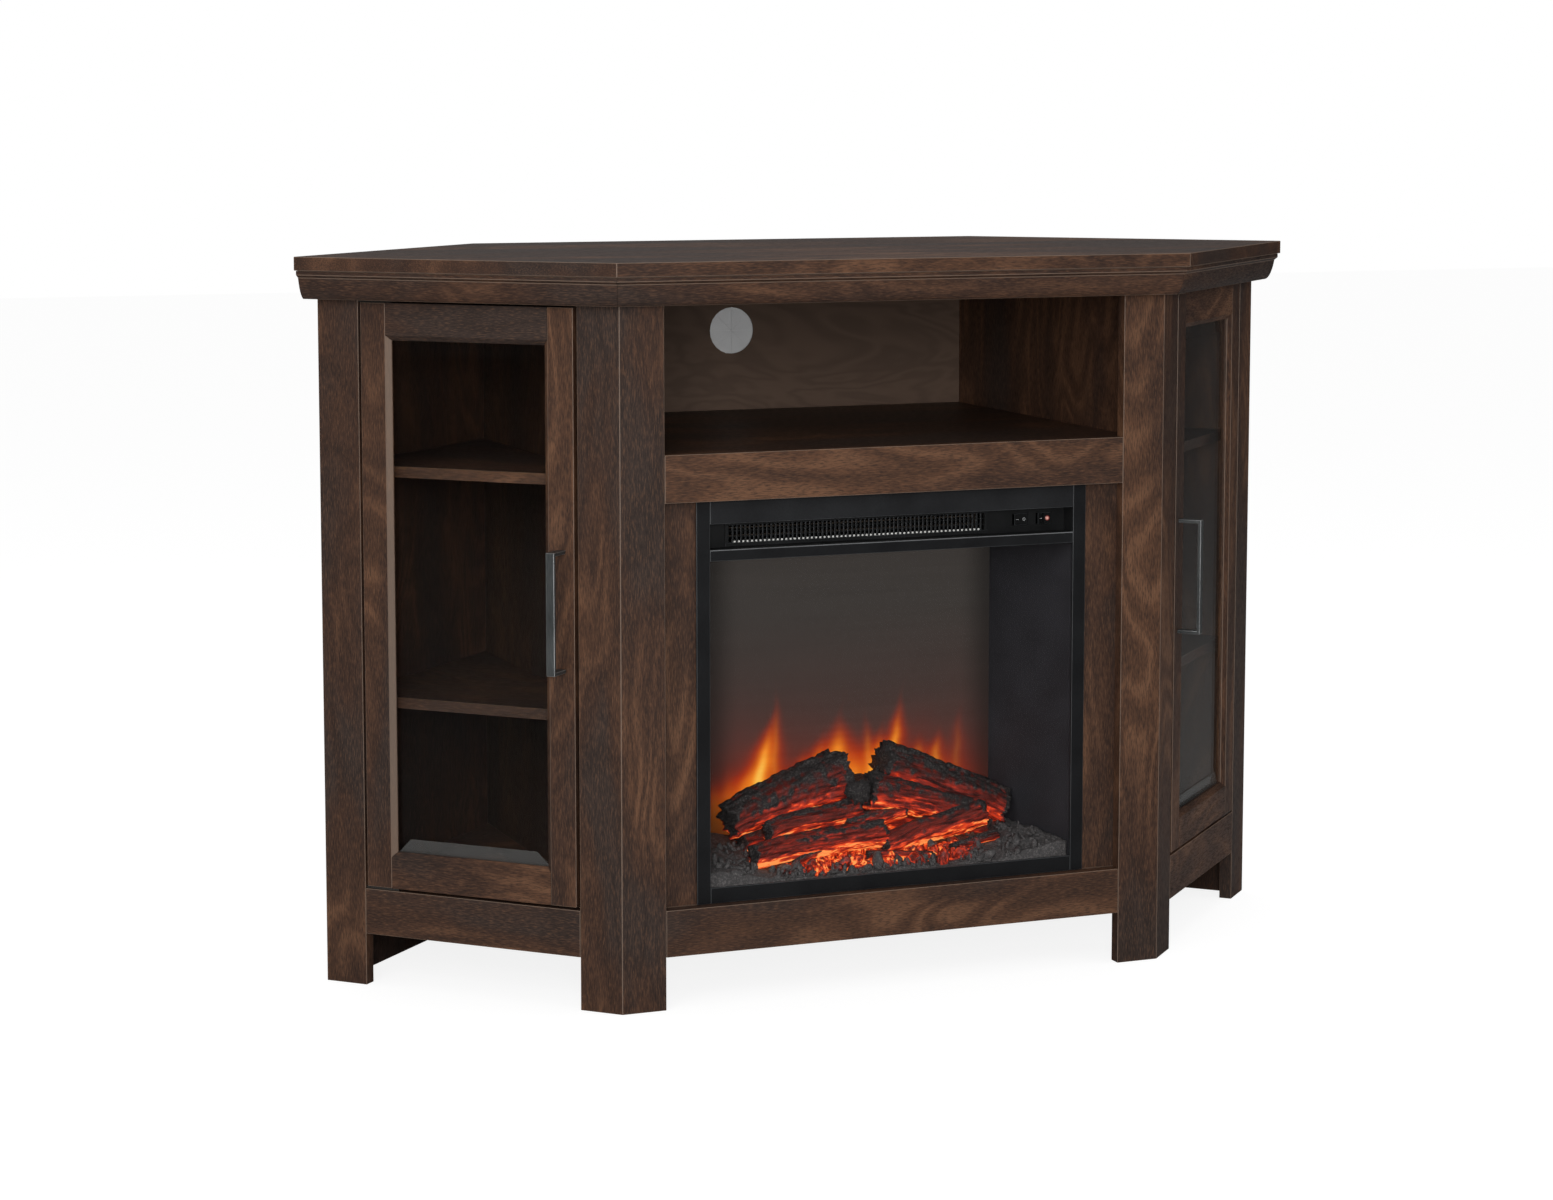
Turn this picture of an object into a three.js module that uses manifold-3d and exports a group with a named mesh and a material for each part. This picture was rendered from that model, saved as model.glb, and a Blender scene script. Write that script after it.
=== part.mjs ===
// A corner fireplace: a five-sided media cabinet with two glazed wing doors and an electric fireplace insert.
// Millimetres, +Z up, front towards -Y. The origin is under the middle of the top slab, on the floor.
import * as THREE from 'three';
import { mergeVertices } from 'three/addons/utils/BufferGeometryUtils.js';
import Module from 'manifold-3d';

const wasm = await Module();
wasm.setup();

// ---- Cabinet: driving dimensions ----
const frontWidth = 644; // straight front, mitre to mitre
const wingLength = 365.5; // face of each 45 degree wing, mitre to wall side
const cabinetHeight = 806; // floor to the top of the slab
const board = 15; // every structural board
const shelfBoard = 12; // the thinner cabinet shelves
const backBoard = 3; // hardboard back
const seat = 0.3; // gap between pieces that rest on each other
const slabThickness = 15;
const slabOverhang = 33; // past the front and wing faces
const wallOverhang = 9; // past the wall sides and the back
const postWidth = 50; // each face of the V-shaped front posts
const rearPostWidth = 50.5;

// ---- Crown moulding under the slab ----
const crownHeight = 31.5;
const crownSetIn = 3; // fillet behind the slab's edge
const crownFillet = 5; // height of the square fillet
const crownQuirk = 3; // height of the cove under the fillet
const crownNeck = 26; // projection where the cove meets the roll
const crownFoot = 16; // projection at the bottom of the roll
const crownEndSetIn = 1; // behind the slab's wall edge

// ---- Rails and shelves, as heights above the floor ----
const bottomRailFoot = 58;
const bottomRailHeight = 51;
const middleRailFoot = 549;
const middleRailHeight = 51.5;
const mediaShelfDrop = 3; // shelf top below the rail's top
const shelfTops = [320, 576];
const shelfSetBack = 30; // shelf edge behind the wing's face
const shelfClearance = 1;
const backPanelFoot = 30;
const cableHoleDiameter = 57;
const cableHoleDrop = 96; // centre below the slab
const cordHoleRise = 51; // lower hole, behind the insert, above the bottom rail
const cordHoleOffset = 150;

// ---- Shelf pins ----
const pinDiameter = 5;
const pinLength = 16;
const pinHoleClearance = 0.3; // round the pin
const pinInset = 60; // from the shelf's corners
const pinSink = 0.8; // into the shelf's underside

// ---- Doors ----
const doorThickness = 16;
const hingeGap = 3;
const latchGap = 4.5;
const stileFlat = 30.5;
const railFlat = 35;
const beadWidth = 5.5; // moulded lip that frames the glass
const beadDrop = 5; // depth of the sloping face of the lip
const lipBack = 7.5; // depth of the rebate's face
const glassThickness = 4;
const glassBevelWidth = 20;
const glassBevelDepth = 2;

// ---- Pivot hinges, catches and handles ----
const pivotInset = 16; // pivot axis from the hinge edge
const pivotPlateThickness = 2.5;
const pivotPlateLength = 38;
const pivotPlateWidth = 12;
const pivotPinDiameter = 5;
const pivotPinLength = 10;
const pivotPinClearance = 0.4;
const catchReach = 12; // over the door's latch edge
const catchHeight = 38;
const catchDrop = 60; // centre below the door's top
const catchDepth = 14;
const handleLength = 132;
const handleMidHeight = 432.5;
const handleProjection = 27;
const handleWidth = 10;
const handleBar = 4; // thickness of the bent strip

// ---- Fireplace insert: bezel, window and control channel ----
const bezelWidth = 464;
const bezelThickness = 3;
const bezelOverlap = 6; // over the surround panels
const bezelPlay = 0.5; // to the rails above and below
const bezelSide = 15.5;
const bezelTopBand = 25.5;
const channelHeight = 28;
const maskBand = 12;
const bezelBottomBand = 17;
const windowGlass = 3;
const windowLap = 3; // glass behind the bezel's edges
const channelDepth = 20;
const panelWall = 3;
const grilleLeft = -191;
const grilleRight = 120.5;
const grilleSlotPitch = 5;
const grilleSlotWidth = 3;
const grilleBorder = 3.5;
const grilleThickness = 2.7;
const grillePlay = 1; // above and below, in the channel

// ---- Rocker switches ----
const rockerCentres = { power: 162, heater: 191 };
const rockerWidth = 17.2;
const rockerHeight = 13;
const rockerRise = 4.5; // face above the pivot
const rockerTilt = 7; // degrees, each half of the face
const rockerPlay = 1; // at each end of the well
const switchWall = 1.4;
const switchDepth = 18;
const wellDepth = 6; // room behind the panel for the rocker

// ---- Firebox ----
const sheet = 1.5;
const housingDepth = 185;
const housingPlay = 2.5; // inside the surround opening
const deckLap = 5.5; // deck above the window's top
const intakeRowLength = 360; // row of air slots in the back
const intakePitch = 15;
const intakeWidth = 5;
const cordBushDiameter = 20;
const cordBushLength = 8;
const screenDepth = 121; // window to the flame screen
const screenThickness = 3;
const screenWidth = 348;
const emberFront = 15; // height of the ember bed at the window
const emberBack = 40;
const emberPocket = 14; // hollow under the bed, for the lights
const logSetHeight = 140;
const thickLogDiameter = 50;
const lampCount = 9;
const lampDiameter = 5;
const lampEndRoom = 11; // board's end to the ember bed's edge

// ---- Flame spindle, heater and blower ----
const spindleRadius = 16;
const spindleRod = 5;
const spindleHeight = 40; // axis above the firebox floor
const spindleSetBack = 27; // axis behind the flame screen
const spindleVanes = 12;
const spindleEndRoom = 27; // to the housing's side
const motorDiameter = 36;
const motorLength = 22;
const bracket = 2;
const bearingClearance = 0.4;
const blowerRadius = 20;
const blowerBlades = 16;
const blowerEndRoom = 21; // wheel's end from the grille's left end
const blowerMotorRoom = 35.5; // wheel's end from the grille's right end
const blowerShaft = 6;
const blowerMotorLength = 40;
const heaterEndRoom = 5.75; // to each end of the grille
const heaterRibbons = 6;
const heaterDepth = 14;

// ---- Derived places ----
const halfFront = frontWidth / 2;
const wingTurn = Math.PI / 4;
const mitre = Math.tan(wingTurn / 2);
const cabinetDepth = Math.SQRT2 * wingLength; // the wall sides end in line with the front mitres
const slabBottom = cabinetHeight - slabThickness;
const crownBottom = slabBottom - crownHeight;
const railTop = bottomRailFoot + bottomRailHeight;
const middleRailTop = middleRailFoot + middleRailHeight;
const mediaShelfTop = middleRailTop - mediaShelfDrop;
const backInside = cabinetDepth - backBoard;
const cordHoleHeight = railTop + cordHoleRise;
const bayHalf = halfFront - board; // inner faces of the dividers
const slabMiddle = (cabinetDepth + wallOverhang - slabOverhang) / 2;
const rearPostEdge = wingLength - rearPostWidth;

const pivotGap = pivotPlateThickness + 2 * seat;
const doorTop = crownBottom - pivotGap;
const doorFoot = railTop + pivotGap;
const latchEdge = postWidth + latchGap;
const hingeEdge = rearPostEdge - hingeGap;
const pivotAxis = hingeEdge - pivotInset;
const doorMiddle = doorThickness / 2;

const bezelHalf = bezelWidth / 2;
const bezelFoot = railTop + bezelPlay;
const bezelTop = middleRailFoot - bezelPlay;
const windowHalf = bezelHalf - bezelSide;
const channelTop = bezelTop - bezelTopBand;
const channelFoot = channelTop - channelHeight;
const windowTop = channelFoot - maskBand;
const windowFoot = bezelFoot + bezelBottomBand;
const insertFront = board + seat; // plane behind the bezel
const housingHalf = bezelHalf - bezelOverlap - housingPlay;
const housingInner = housingHalf - sheet;
const housingFoot = railTop + seat;
const housingTop = bezelTop - housingPlay;
const housingBack = insertFront + housingDepth;
const fireFloor = housingFoot + sheet + seat; // what stands in the firebox
const deckFoot = windowTop + deckLap;
const deckTop = deckFoot + sheet;
const heaterFloor = deckTop + seat;
const channelBack = insertFront + channelDepth;
const channelMiddle = (channelTop + channelFoot) / 2;
const screenFront = insertFront + screenDepth;
const spindleY = screenFront + screenThickness + spindleSetBack;
const spindleZ = fireFloor + spindleHeight;
const spindleLength = 2 * (housingInner - spindleEndRoom);
const blowerLeft = grilleLeft + blowerEndRoom;
const blowerLength = grilleRight - blowerMotorRoom - blowerLeft;
const blowerZ = (heaterFloor + housingTop - sheet) / 2;
const blowerY = channelBack + 3 * heaterDepth + 2 * blowerRadius + bracket;

// ---- Materials ----
function finish(color, roughness, metalness = 0) {
  return new THREE.MeshStandardMaterial({ color, roughness, metalness });
}

const walnut = finish(0x4a3126, 0.5);
const hardboard = finish(0x3a2820, 0.8);
const clearGlass = finish(0x9aa3a3, 0.05);
const blackSteel = finish(0x1d1e20, 0.45, 0.6);
const blackPlastic = finish(0x17181a, 0.5);
const gunmetal = finish(0x3b3c3e, 0.4, 0.9);
const brightSteel = finish(0xb8b9ba, 0.3, 1);
const smokedScreen = finish(0x4b4641, 0.2);
const emberResin = finish(0xb4451c, 0.7);
const logResin = finish(0x3d211a, 0.8);
const nichrome = finish(0x8a7f74, 0.4, 0.9);

// ---- Helpers ----
const cabinet = new THREE.Group();

function part(name, geometry, material, parent = cabinet) {
  const mesh = new THREE.Mesh(geometry, material);
  mesh.name = name;
  parent.add(mesh);
  return mesh;
}

function solidOf(geometry) {
  const bare = geometry.clone();
  bare.deleteAttribute('normal');
  bare.deleteAttribute('uv');
  const merged = mergeVertices(bare);
  return new wasm.Manifold(new wasm.Mesh({
    numProp: 3,
    vertProperties: new Float32Array(merged.attributes.position.array),
    triVerts: new Uint32Array(merged.index.array),
  }));
}

function geometryOf(solid) {
  const { vertProperties, triVerts } = solid.getMesh();
  const geometry = new THREE.BufferGeometry();
  geometry.setAttribute('position', new THREE.BufferAttribute(vertProperties, 3));
  geometry.setIndex(new THREE.BufferAttribute(triVerts, 1));
  geometry.computeVertexNormals();
  return geometry;
}

const join = (...pieces) => geometryOf(pieces.map(solidOf).reduce((whole, piece) => whole.add(piece)));
const common = (one, other) => geometryOf(solidOf(one).intersect(solidOf(other)));

function cut(piece, ...cutters) {
  return geometryOf(cutters.map(solidOf).reduce((whole, cutter) => whole.subtract(cutter), solidOf(piece)));
}

// A box between two opposite corners; a side of -1 gives the mirrored one.
function box(x0, x1, y0, y1, z0, z1, side = 1) {
  const geometry = new THREE.BoxGeometry(Math.abs(x1 - x0), Math.abs(y1 - y0), Math.abs(z1 - z0));
  return geometry.translate(side * (x0 + x1) / 2, (y0 + y1) / 2, (z0 + z1) / 2);
}

// A plan outline raised between two heights.
function prism(points, z0, z1, side = 1) {
  const outline = new THREE.Shape(points.map(([x, y]) => new THREE.Vector2(side * x, y)));
  return new THREE.ExtrudeGeometry(outline, { depth: z1 - z0, bevelEnabled: false }).translate(0, 0, z0);
}

// An upright panel drawn as seen from the front, with its holes, between two depths.
function uprightPanel(outline, y0, y1, curveSegments = 12) {
  const geometry = new THREE.ExtrudeGeometry(outline, { depth: y1 - y0, bevelEnabled: false, curveSegments });
  return geometry.rotateX(Math.PI / 2).translate(0, y1, 0);
}

function rectangle(x0, x1, z0, z1) {
  const corners = [[x0, z0], [x1, z0], [x1, z1], [x0, z1]];
  return corners.map(([x, z]) => new THREE.Vector2(x, z));
}

function roundHole(x, z, radius) {
  return new THREE.Path().absarc(x, z, radius, 0, 2 * Math.PI);
}

// A round bar along x, y or z, from its start.
function rod(axis, x, y, z, radius, length, sides = 12) {
  const geometry = new THREE.CylinderGeometry(radius, radius, length, sides).translate(0, length / 2, 0);
  if (axis === 'x') geometry.rotateZ(-Math.PI / 2);
  if (axis === 'z') geometry.rotateX(Math.PI / 2);
  return geometry.translate(x, y, z);
}

// Turns every face outwards after a mirroring.
function faceOut(geometry) {
  const points = geometry.attributes.position;
  const [a, b, c] = [0, 1, 2].map(() => new THREE.Vector3());
  let volume = 0;
  for (let i = 0; i < points.count; i += 3) {
    a.fromBufferAttribute(points, i);
    b.fromBufferAttribute(points, i + 1);
    c.fromBufferAttribute(points, i + 2);
    volume += a.dot(b.cross(c));
  }
  if (volume > 0) return geometry;
  for (let i = 0; i < points.count; i += 3) {
    b.fromBufferAttribute(points, i + 1);
    c.fromBufferAttribute(points, i + 2);
    points.setXYZ(i + 1, c.x, c.y, c.z);
    points.setXYZ(i + 2, b.x, b.y, b.z);
  }
  return geometry;
}

// The left-hand twin of a right-hand piece.
function mirrored(geometry, side) {
  if (side > 0) return geometry;
  return faceOut(geometry.toNonIndexed().scale(-1, 1, 1));
}

// A straight moulding: the profile runs between two ends that may be mitred,
// and place() sets it in the piece's own axes.
function moulding(profile, startAt, endAt, place, curveSegments = 6) {
  const geometry = new THREE.ExtrudeGeometry(profile, { depth: 1, bevelEnabled: false, curveSegments });
  const points = geometry.attributes.position;
  for (let i = 0; i < points.count; i++) {
    const across = points.getX(i);
    const along = points.getZ(i) < 0.5 ? startAt(across) : endAt(across);
    points.setXYZ(i, ...place(along, across, points.getY(i)));
  }
  return faceOut(geometry);
}

const polygon = (points) => new THREE.Shape(points.map(([x, y]) => new THREE.Vector2(x, y)));

// A point of a wing, t along its face from the mitre and d inwards, in the cabinet's plan.
function wingPoint(t, d) {
  return [halfFront + (t - d) * Math.cos(wingTurn), (t + d) * Math.sin(wingTurn)];
}

// A wing's group has x along the wing (times side), y inwards and z up.
function wingGroup(side, name) {
  const wing = new THREE.Group();
  wing.name = name;
  wing.position.x = side * halfFront;
  wing.rotation.z = side * wingTurn;
  wing.updateMatrix();
  cabinet.add(wing);
  return wing;
}

const rightWing = wingGroup(1, 'right_wing');
const sides = [
  { side: -1, name: 'left', wing: wingGroup(-1, 'left_wing') },
  { side: 1, name: 'right', wing: rightWing },
];

// ---- Top slab and crown ----
function topSlab() {
  const back = cabinetDepth + wallOverhang;
  const frontCorner = [halfFront + slabOverhang * mitre, -slabOverhang];
  const wallCorner = wingPoint(wingLength + wallOverhang, -slabOverhang);
  const backCorner = [wallCorner[0] + wallCorner[1] - back, back];
  const right = [frontCorner, wallCorner, backCorner];
  const left = right.map(([x, y]) => [-x, y]).reverse();
  part('top_slab', prism([...right, ...left], slabBottom, cabinetHeight), walnut);
}

// Each length of crown is glued to a rail that closes the frame between the posts.
function crown() {
  const neckHeight = crownHeight - crownFillet - crownQuirk;
  const fillet = slabOverhang - crownSetIn;
  const profile = new THREE.Shape();
  profile.moveTo(seat, 0);
  profile.lineTo(crownFoot, 0);
  profile.quadraticCurveTo((crownFoot + 2 * crownNeck) / 3, neckHeight / 5, crownNeck, neckHeight);
  profile.lineTo(fillet, crownHeight - crownFillet);
  profile.lineTo(fillet, crownHeight - seat);
  profile.lineTo(seat, crownHeight - seat);
  const joint = seat / 2 / Math.cos(wingTurn / 2);
  const railDepths = [-2 * seat, board];
  const railHeights = [crownBottom, slabBottom - seat];

  const frontEnd = (out) => halfFront + out * mitre - joint;
  const frontPlace = (x, out, up) => [x, -out, crownBottom + up];
  const front = moulding(profile, (out) => -frontEnd(out), frontEnd, frontPlace);
  const railEnd = halfFront - postWidth - seat;
  part('front_crown', join(front, box(-railEnd, railEnd, ...railDepths, ...railHeights)), walnut);
  const mitredEnd = (out) => joint - out * mitre;
  const wallEnd = () => wingLength + wallOverhang - crownEndSetIn;
  for (const { side, name, wing } of sides) {
    const wingPlace = (t, out, up) => [side * t, -out, crownBottom + up];
    const run = moulding(profile, mitredEnd, wallEnd, wingPlace);
    const rail = box(postWidth + seat, rearPostEdge - seat, ...railDepths, ...railHeights, side);
    part(`${name}_crown`, join(run, rail), walnut, wing);
  }
}

// ---- Posts and rails ----
function frame() {
  const postTop = slabBottom - seat;
  for (const { side, name, wing } of sides) {
    const postPlan = [
      [halfFront - postWidth, 0],
      [halfFront, 0],
      wingPoint(postWidth, 0),
      wingPoint(postWidth, board),
      [halfFront - board * mitre, board],
      [halfFront - postWidth, board],
    ];
    part(`${name}_front_post`, prism(postPlan, 0, postTop, side), walnut);
    part(`${name}_rear_post`, box(rearPostEdge, wingLength, 0, board, 0, postTop, side), walnut, wing);
    const rail = box(postWidth + seat, rearPostEdge - seat, 0, board, bottomRailFoot, railTop, side);
    part(`${name}_wing_rail`, rail, walnut, wing);
  }
  const railEnd = halfFront - postWidth - seat;
  part('middle_rail', box(-railEnd, railEnd, 0, board, middleRailFoot, middleRailTop), walnut);
  part('bottom_rail', box(-railEnd, railEnd, 0, board, bottomRailFoot, railTop), walnut);
}

// ---- Shelf pins: half of each pin is in a wall, and its shelf is glued down on the other half ----
const pinDepth = pinLength / 2;
const shelfSide = wingLength - board - shelfClearance;
const wallPinPlaces = [shelfSetBack + pinInset, shelfSide - pinInset];
const dividerPinPlaces = wallPinPlaces.map((d) => d * Math.SQRT2);
const pinHeight = (shelfTop) => shelfTop - shelfBoard - pinDiameter / 2 + pinSink;
const pinHole = pinDiameter / 2 + pinHoleClearance;
const pinHoleDepth = pinDepth + 2 * seat;

function wallPins(shelfTop, radius, start, end) {
  const from = wingLength - board + start;
  return wallPinPlaces.map((d) => rod('x', from, d, pinHeight(shelfTop), radius, end - start, 8));
}

function dividerPins(shelfTop, radius, start, end) {
  const from = halfFront + start;
  return dividerPinPlaces.map((y) => rod('x', from, y, pinHeight(shelfTop), radius, end - start, 8));
}

// ---- Panels, base board and shelves ----
const behindPost = board + seat;

function dividerPanel() {
  const plan = [
    [bayHalf, behindPost],
    [halfFront - behindPost * mitre, behindPost],
    [halfFront, behindPost * Math.SQRT2],
    [halfFront, backInside - seat],
    [bayHalf, backInside - seat],
  ];
  const holes = shelfTops.flatMap((top) => dividerPins(top, pinHole, -pinHoleDepth, board));
  return cut(prism(plan, railTop + seat, slabBottom - seat), ...holes);
}

function wallPanel() {
  const inner = wingLength - board;
  const backLine = Math.SQRT2 * (backInside - seat);
  const dividerLine = Math.SQRT2 * seat; // t - d where the panel ends beside the divider
  const corner = (backLine + dividerLine) / 2;
  const plan = [
    [inner, behindPost],
    [wingLength, behindPost],
    [wingLength, backLine - wingLength],
    [corner, corner - dividerLine],
    [inner, inner - dividerLine],
  ];
  const holes = shelfTops.flatMap((top) => wallPins(top, pinHole, -board, pinHoleDepth));
  return cut(prism(plan, 0, slabBottom - seat), ...holes);
}

function shelf(top) {
  const inner = wingLength - board - shelfClearance;
  const plan = [
    [shelfSetBack + shelfClearance * Math.SQRT2, shelfSetBack],
    [inner, shelfSetBack],
    [inner, inner - shelfClearance * Math.SQRT2],
  ].map(([t, d]) => wingPoint(t, d));
  const span = [pinDiameter / 2, -pinDepth, pinDepth];
  const outerPins = wallPins(top, ...span).map((pin) => pin.applyMatrix4(rightWing.matrix));
  return join(prism(plan, top - shelfBoard, top), ...dividerPins(top, ...span), ...outerPins);
}

function baseBoard() {
  const t = wingLength - board - seat;
  const back = backInside - seat;
  const right = [
    [halfFront - behindPost * mitre, behindPost],
    wingPoint(t, behindPost),
    wingPoint(t, t),
    [halfFront, back],
  ];
  const left = right.map(([x, y]) => [-x, y]).reverse();
  return prism([...right, ...left], railTop - board, railTop);
}

function panels() {
  const inner = bayHalf - seat;
  for (const { side, name, wing } of sides) {
    const heights = [railTop + seat, mediaShelfTop - board - seat];
    const surround = box(bezelHalf - bezelOverlap, inner, behindPost, behindPost + board, ...heights, side);
    part(`${name}_surround_panel`, surround, walnut);
    part(`${name}_divider`, mirrored(dividerPanel(), side), walnut);
    part(`${name}_wall_panel`, mirrored(wallPanel(), side), walnut, wing);
    part(`${name}_lower_shelf`, mirrored(shelf(shelfTops[0]), side), walnut);
    part(`${name}_upper_shelf`, mirrored(shelf(shelfTops[1]), side), walnut);
  }
  part('base_board', baseBoard(), walnut);
  const shelfDepths = [behindPost, backInside - seat];
  part('media_shelf', box(-inner, inner, ...shelfDepths, mediaShelfTop - board, mediaShelfTop), walnut);

  const back = new THREE.Shape(rectangle(-halfFront, halfFront, backPanelFoot, slabBottom - seat));
  back.holes.push(roundHole(0, slabBottom - cableHoleDrop, cableHoleDiameter / 2));
  back.holes.push(roundHole(cordHoleOffset, cordHoleHeight, cableHoleDiameter / 2));
  part('back_panel', uprightPanel(back, backInside, cabinetDepth), hardboard);
}

// ---- Doors ----
function door({ side, name, wing }) {
  const flatEnd = latchEdge + stileFlat;
  const hingeFlatEnd = hingeEdge - stileFlat;
  const lipGap = seat * Math.SQRT1_2;
  const lip = (flat) => polygon([
    [flat, 0],
    [flat + beadWidth, beadDrop],
    [flat + beadWidth, lipBack],
    [flat, lipBack],
  ]);

  // Stiles stand full height; their lips are mitred to the rails' lips.
  const lipFoot = (across) => doorFoot + railFlat + (across - stileFlat) + lipGap;
  const lipTop = (across) => doorTop - railFlat - (across - stileFlat) - lipGap;
  const latchPlace = (z, across, d) => [side * (latchEdge + across), d, z];
  const hingePlace = (z, across, d) => [side * (hingeEdge - across), d, z];
  const latchLip = moulding(lip(stileFlat), lipFoot, lipTop, latchPlace);
  const hingeLip = moulding(lip(stileFlat), lipFoot, lipTop, hingePlace);
  const latchFlat = box(latchEdge, flatEnd, 0, doorThickness, doorFoot, doorTop, side);
  const hingeFlat = box(hingeFlatEnd, hingeEdge, 0, doorThickness, doorFoot, doorTop, side);
  const bore = pivotPinDiameter / 2 + pivotPinClearance;
  const boreDepth = pivotPinLength + 2 * seat;
  const bores = [doorFoot - seat, doorTop + seat - boreDepth]
    .map((z) => rod('z', side * pivotAxis, doorMiddle, z, bore, boreDepth));
  part(`${name}_latch_stile`, join(latchFlat, latchLip), walnut, wing);
  part(`${name}_hinge_stile`, cut(join(hingeFlat, hingeLip), ...bores), walnut, wing);

  const lipStart = (across) => flatEnd + (across - railFlat) + lipGap;
  const lipEnd = (across) => hingeFlatEnd - (across - railFlat) - lipGap;
  const span = [flatEnd + seat, hingeFlatEnd - seat];
  const topPlace = (t, across, d) => [side * t, d, doorTop - across];
  const footPlace = (t, across, d) => [side * t, d, doorFoot + across];
  const topLip = moulding(lip(railFlat), lipStart, lipEnd, topPlace);
  const footLip = moulding(lip(railFlat), lipStart, lipEnd, footPlace);
  const topFlat = box(...span, 0, doorThickness, doorTop - railFlat, doorTop, side);
  const footFlat = box(...span, 0, doorThickness, doorFoot, doorFoot + railFlat, side);
  part(`${name}_door_top_rail`, join(topFlat, topLip), walnut, wing);
  part(`${name}_door_bottom_rail`, join(footFlat, footLip), walnut, wing);

  const paneFront = lipBack + seat;
  const paneHeights = [doorFoot + railFlat + seat, doorTop - railFlat - seat];
  const pane = bevelledPane(...span, paneFront, paneFront + glassThickness, ...paneHeights, side);
  part(`${name}_door_glass`, pane, clearGlass, wing);
  part(`${name}_door_handle`, handle(side), gunmetal, wing);
}

// Glass with a bevel ground round its front face.
function bevelledPane(t0, t1, d0, d1, z0, z1, side) {
  const [width, thickness, height] = [t1 - t0, d1 - d0, z1 - z0];
  const spread = glassBevelWidth * (thickness / glassBevelDepth - 1);
  const wedge = new THREE.BoxGeometry(width, thickness, height);
  const points = wedge.attributes.position;
  for (let i = 0; i < points.count; i++) {
    const grow = points.getY(i) < 0 ? -glassBevelWidth : spread;
    points.setX(i, points.getX(i) + Math.sign(points.getX(i)) * grow);
    points.setZ(i, points.getZ(i) + Math.sign(points.getZ(i)) * grow);
  }
  const pane = common(wedge, new THREE.BoxGeometry(width, thickness, height));
  return pane.translate(side * (t0 + t1) / 2, (d0 + d1) / 2, (z0 + z1) / 2);
}

// A pull bent from a flat strip, in the middle of the latch stile.
function handle(side) {
  const foot = handleMidHeight - handleLength / 2;
  const top = handleMidHeight + handleLength / 2;
  const outline = polygon([
    [-handleProjection, foot],
    [-seat, foot],
    [-seat, foot + handleBar],
    [handleBar - handleProjection, foot + handleBar],
    [handleBar - handleProjection, top - handleBar],
    [-seat, top - handleBar],
    [-seat, top],
    [-handleProjection, top],
  ]);
  const middle = latchEdge + stileFlat / 2;
  const edges = [() => middle - handleWidth / 2, () => middle + handleWidth / 2];
  return moulding(outline, ...edges, (t, d, z) => [side * t, d, z]);
}

// ---- Cabinet side of the door hardware ----
function hardware({ side, name, wing }) {
  const plate = [hingeEdge - pivotPlateLength, rearPostEdge - seat];
  const across = [doorMiddle - pivotPlateWidth / 2, doorMiddle + pivotPlateWidth / 2];
  const pinSpan = pivotPinLength + pivotPlateThickness;
  const pin = (z) => rod('z', side * pivotAxis, doorMiddle, z, pivotPinDiameter / 2, pinSpan);
  const low = railTop + seat;
  const high = crownBottom - seat;
  const lower = join(box(...plate, ...across, low, low + pivotPlateThickness, side), pin(low));
  const upper = join(box(...plate, ...across, high - pivotPlateThickness, high, side), pin(high - pinSpan));
  part(`${name}_lower_pivot`, lower, brightSteel, wing);
  part(`${name}_upper_pivot`, upper, brightSteel, wing);

  // A magnetic catch behind the front post reaches past the post to the door's latch stile.
  const face = doorThickness + seat;
  const plan = [
    [postWidth - catchDepth, behindPost],
    [postWidth - pivotPlateThickness, behindPost],
    [postWidth - pivotPlateThickness, face],
    [latchEdge + catchReach, face],
    [latchEdge + catchReach, face + catchDepth],
    [postWidth - catchDepth, face + catchDepth],
  ];
  const middle = doorTop - catchDrop;
  const holder = prism(plan, middle - catchHeight / 2, middle + catchHeight / 2, side);
  part(`${name}_magnetic_catch`, holder, blackPlastic, wing);
}

// ---- Insert: housing, bezel, window ----
const linerFront = insertFront + windowGlass + seat;
const linerBack = screenFront - seat;
const screenHalf = screenWidth / 2;

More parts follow.
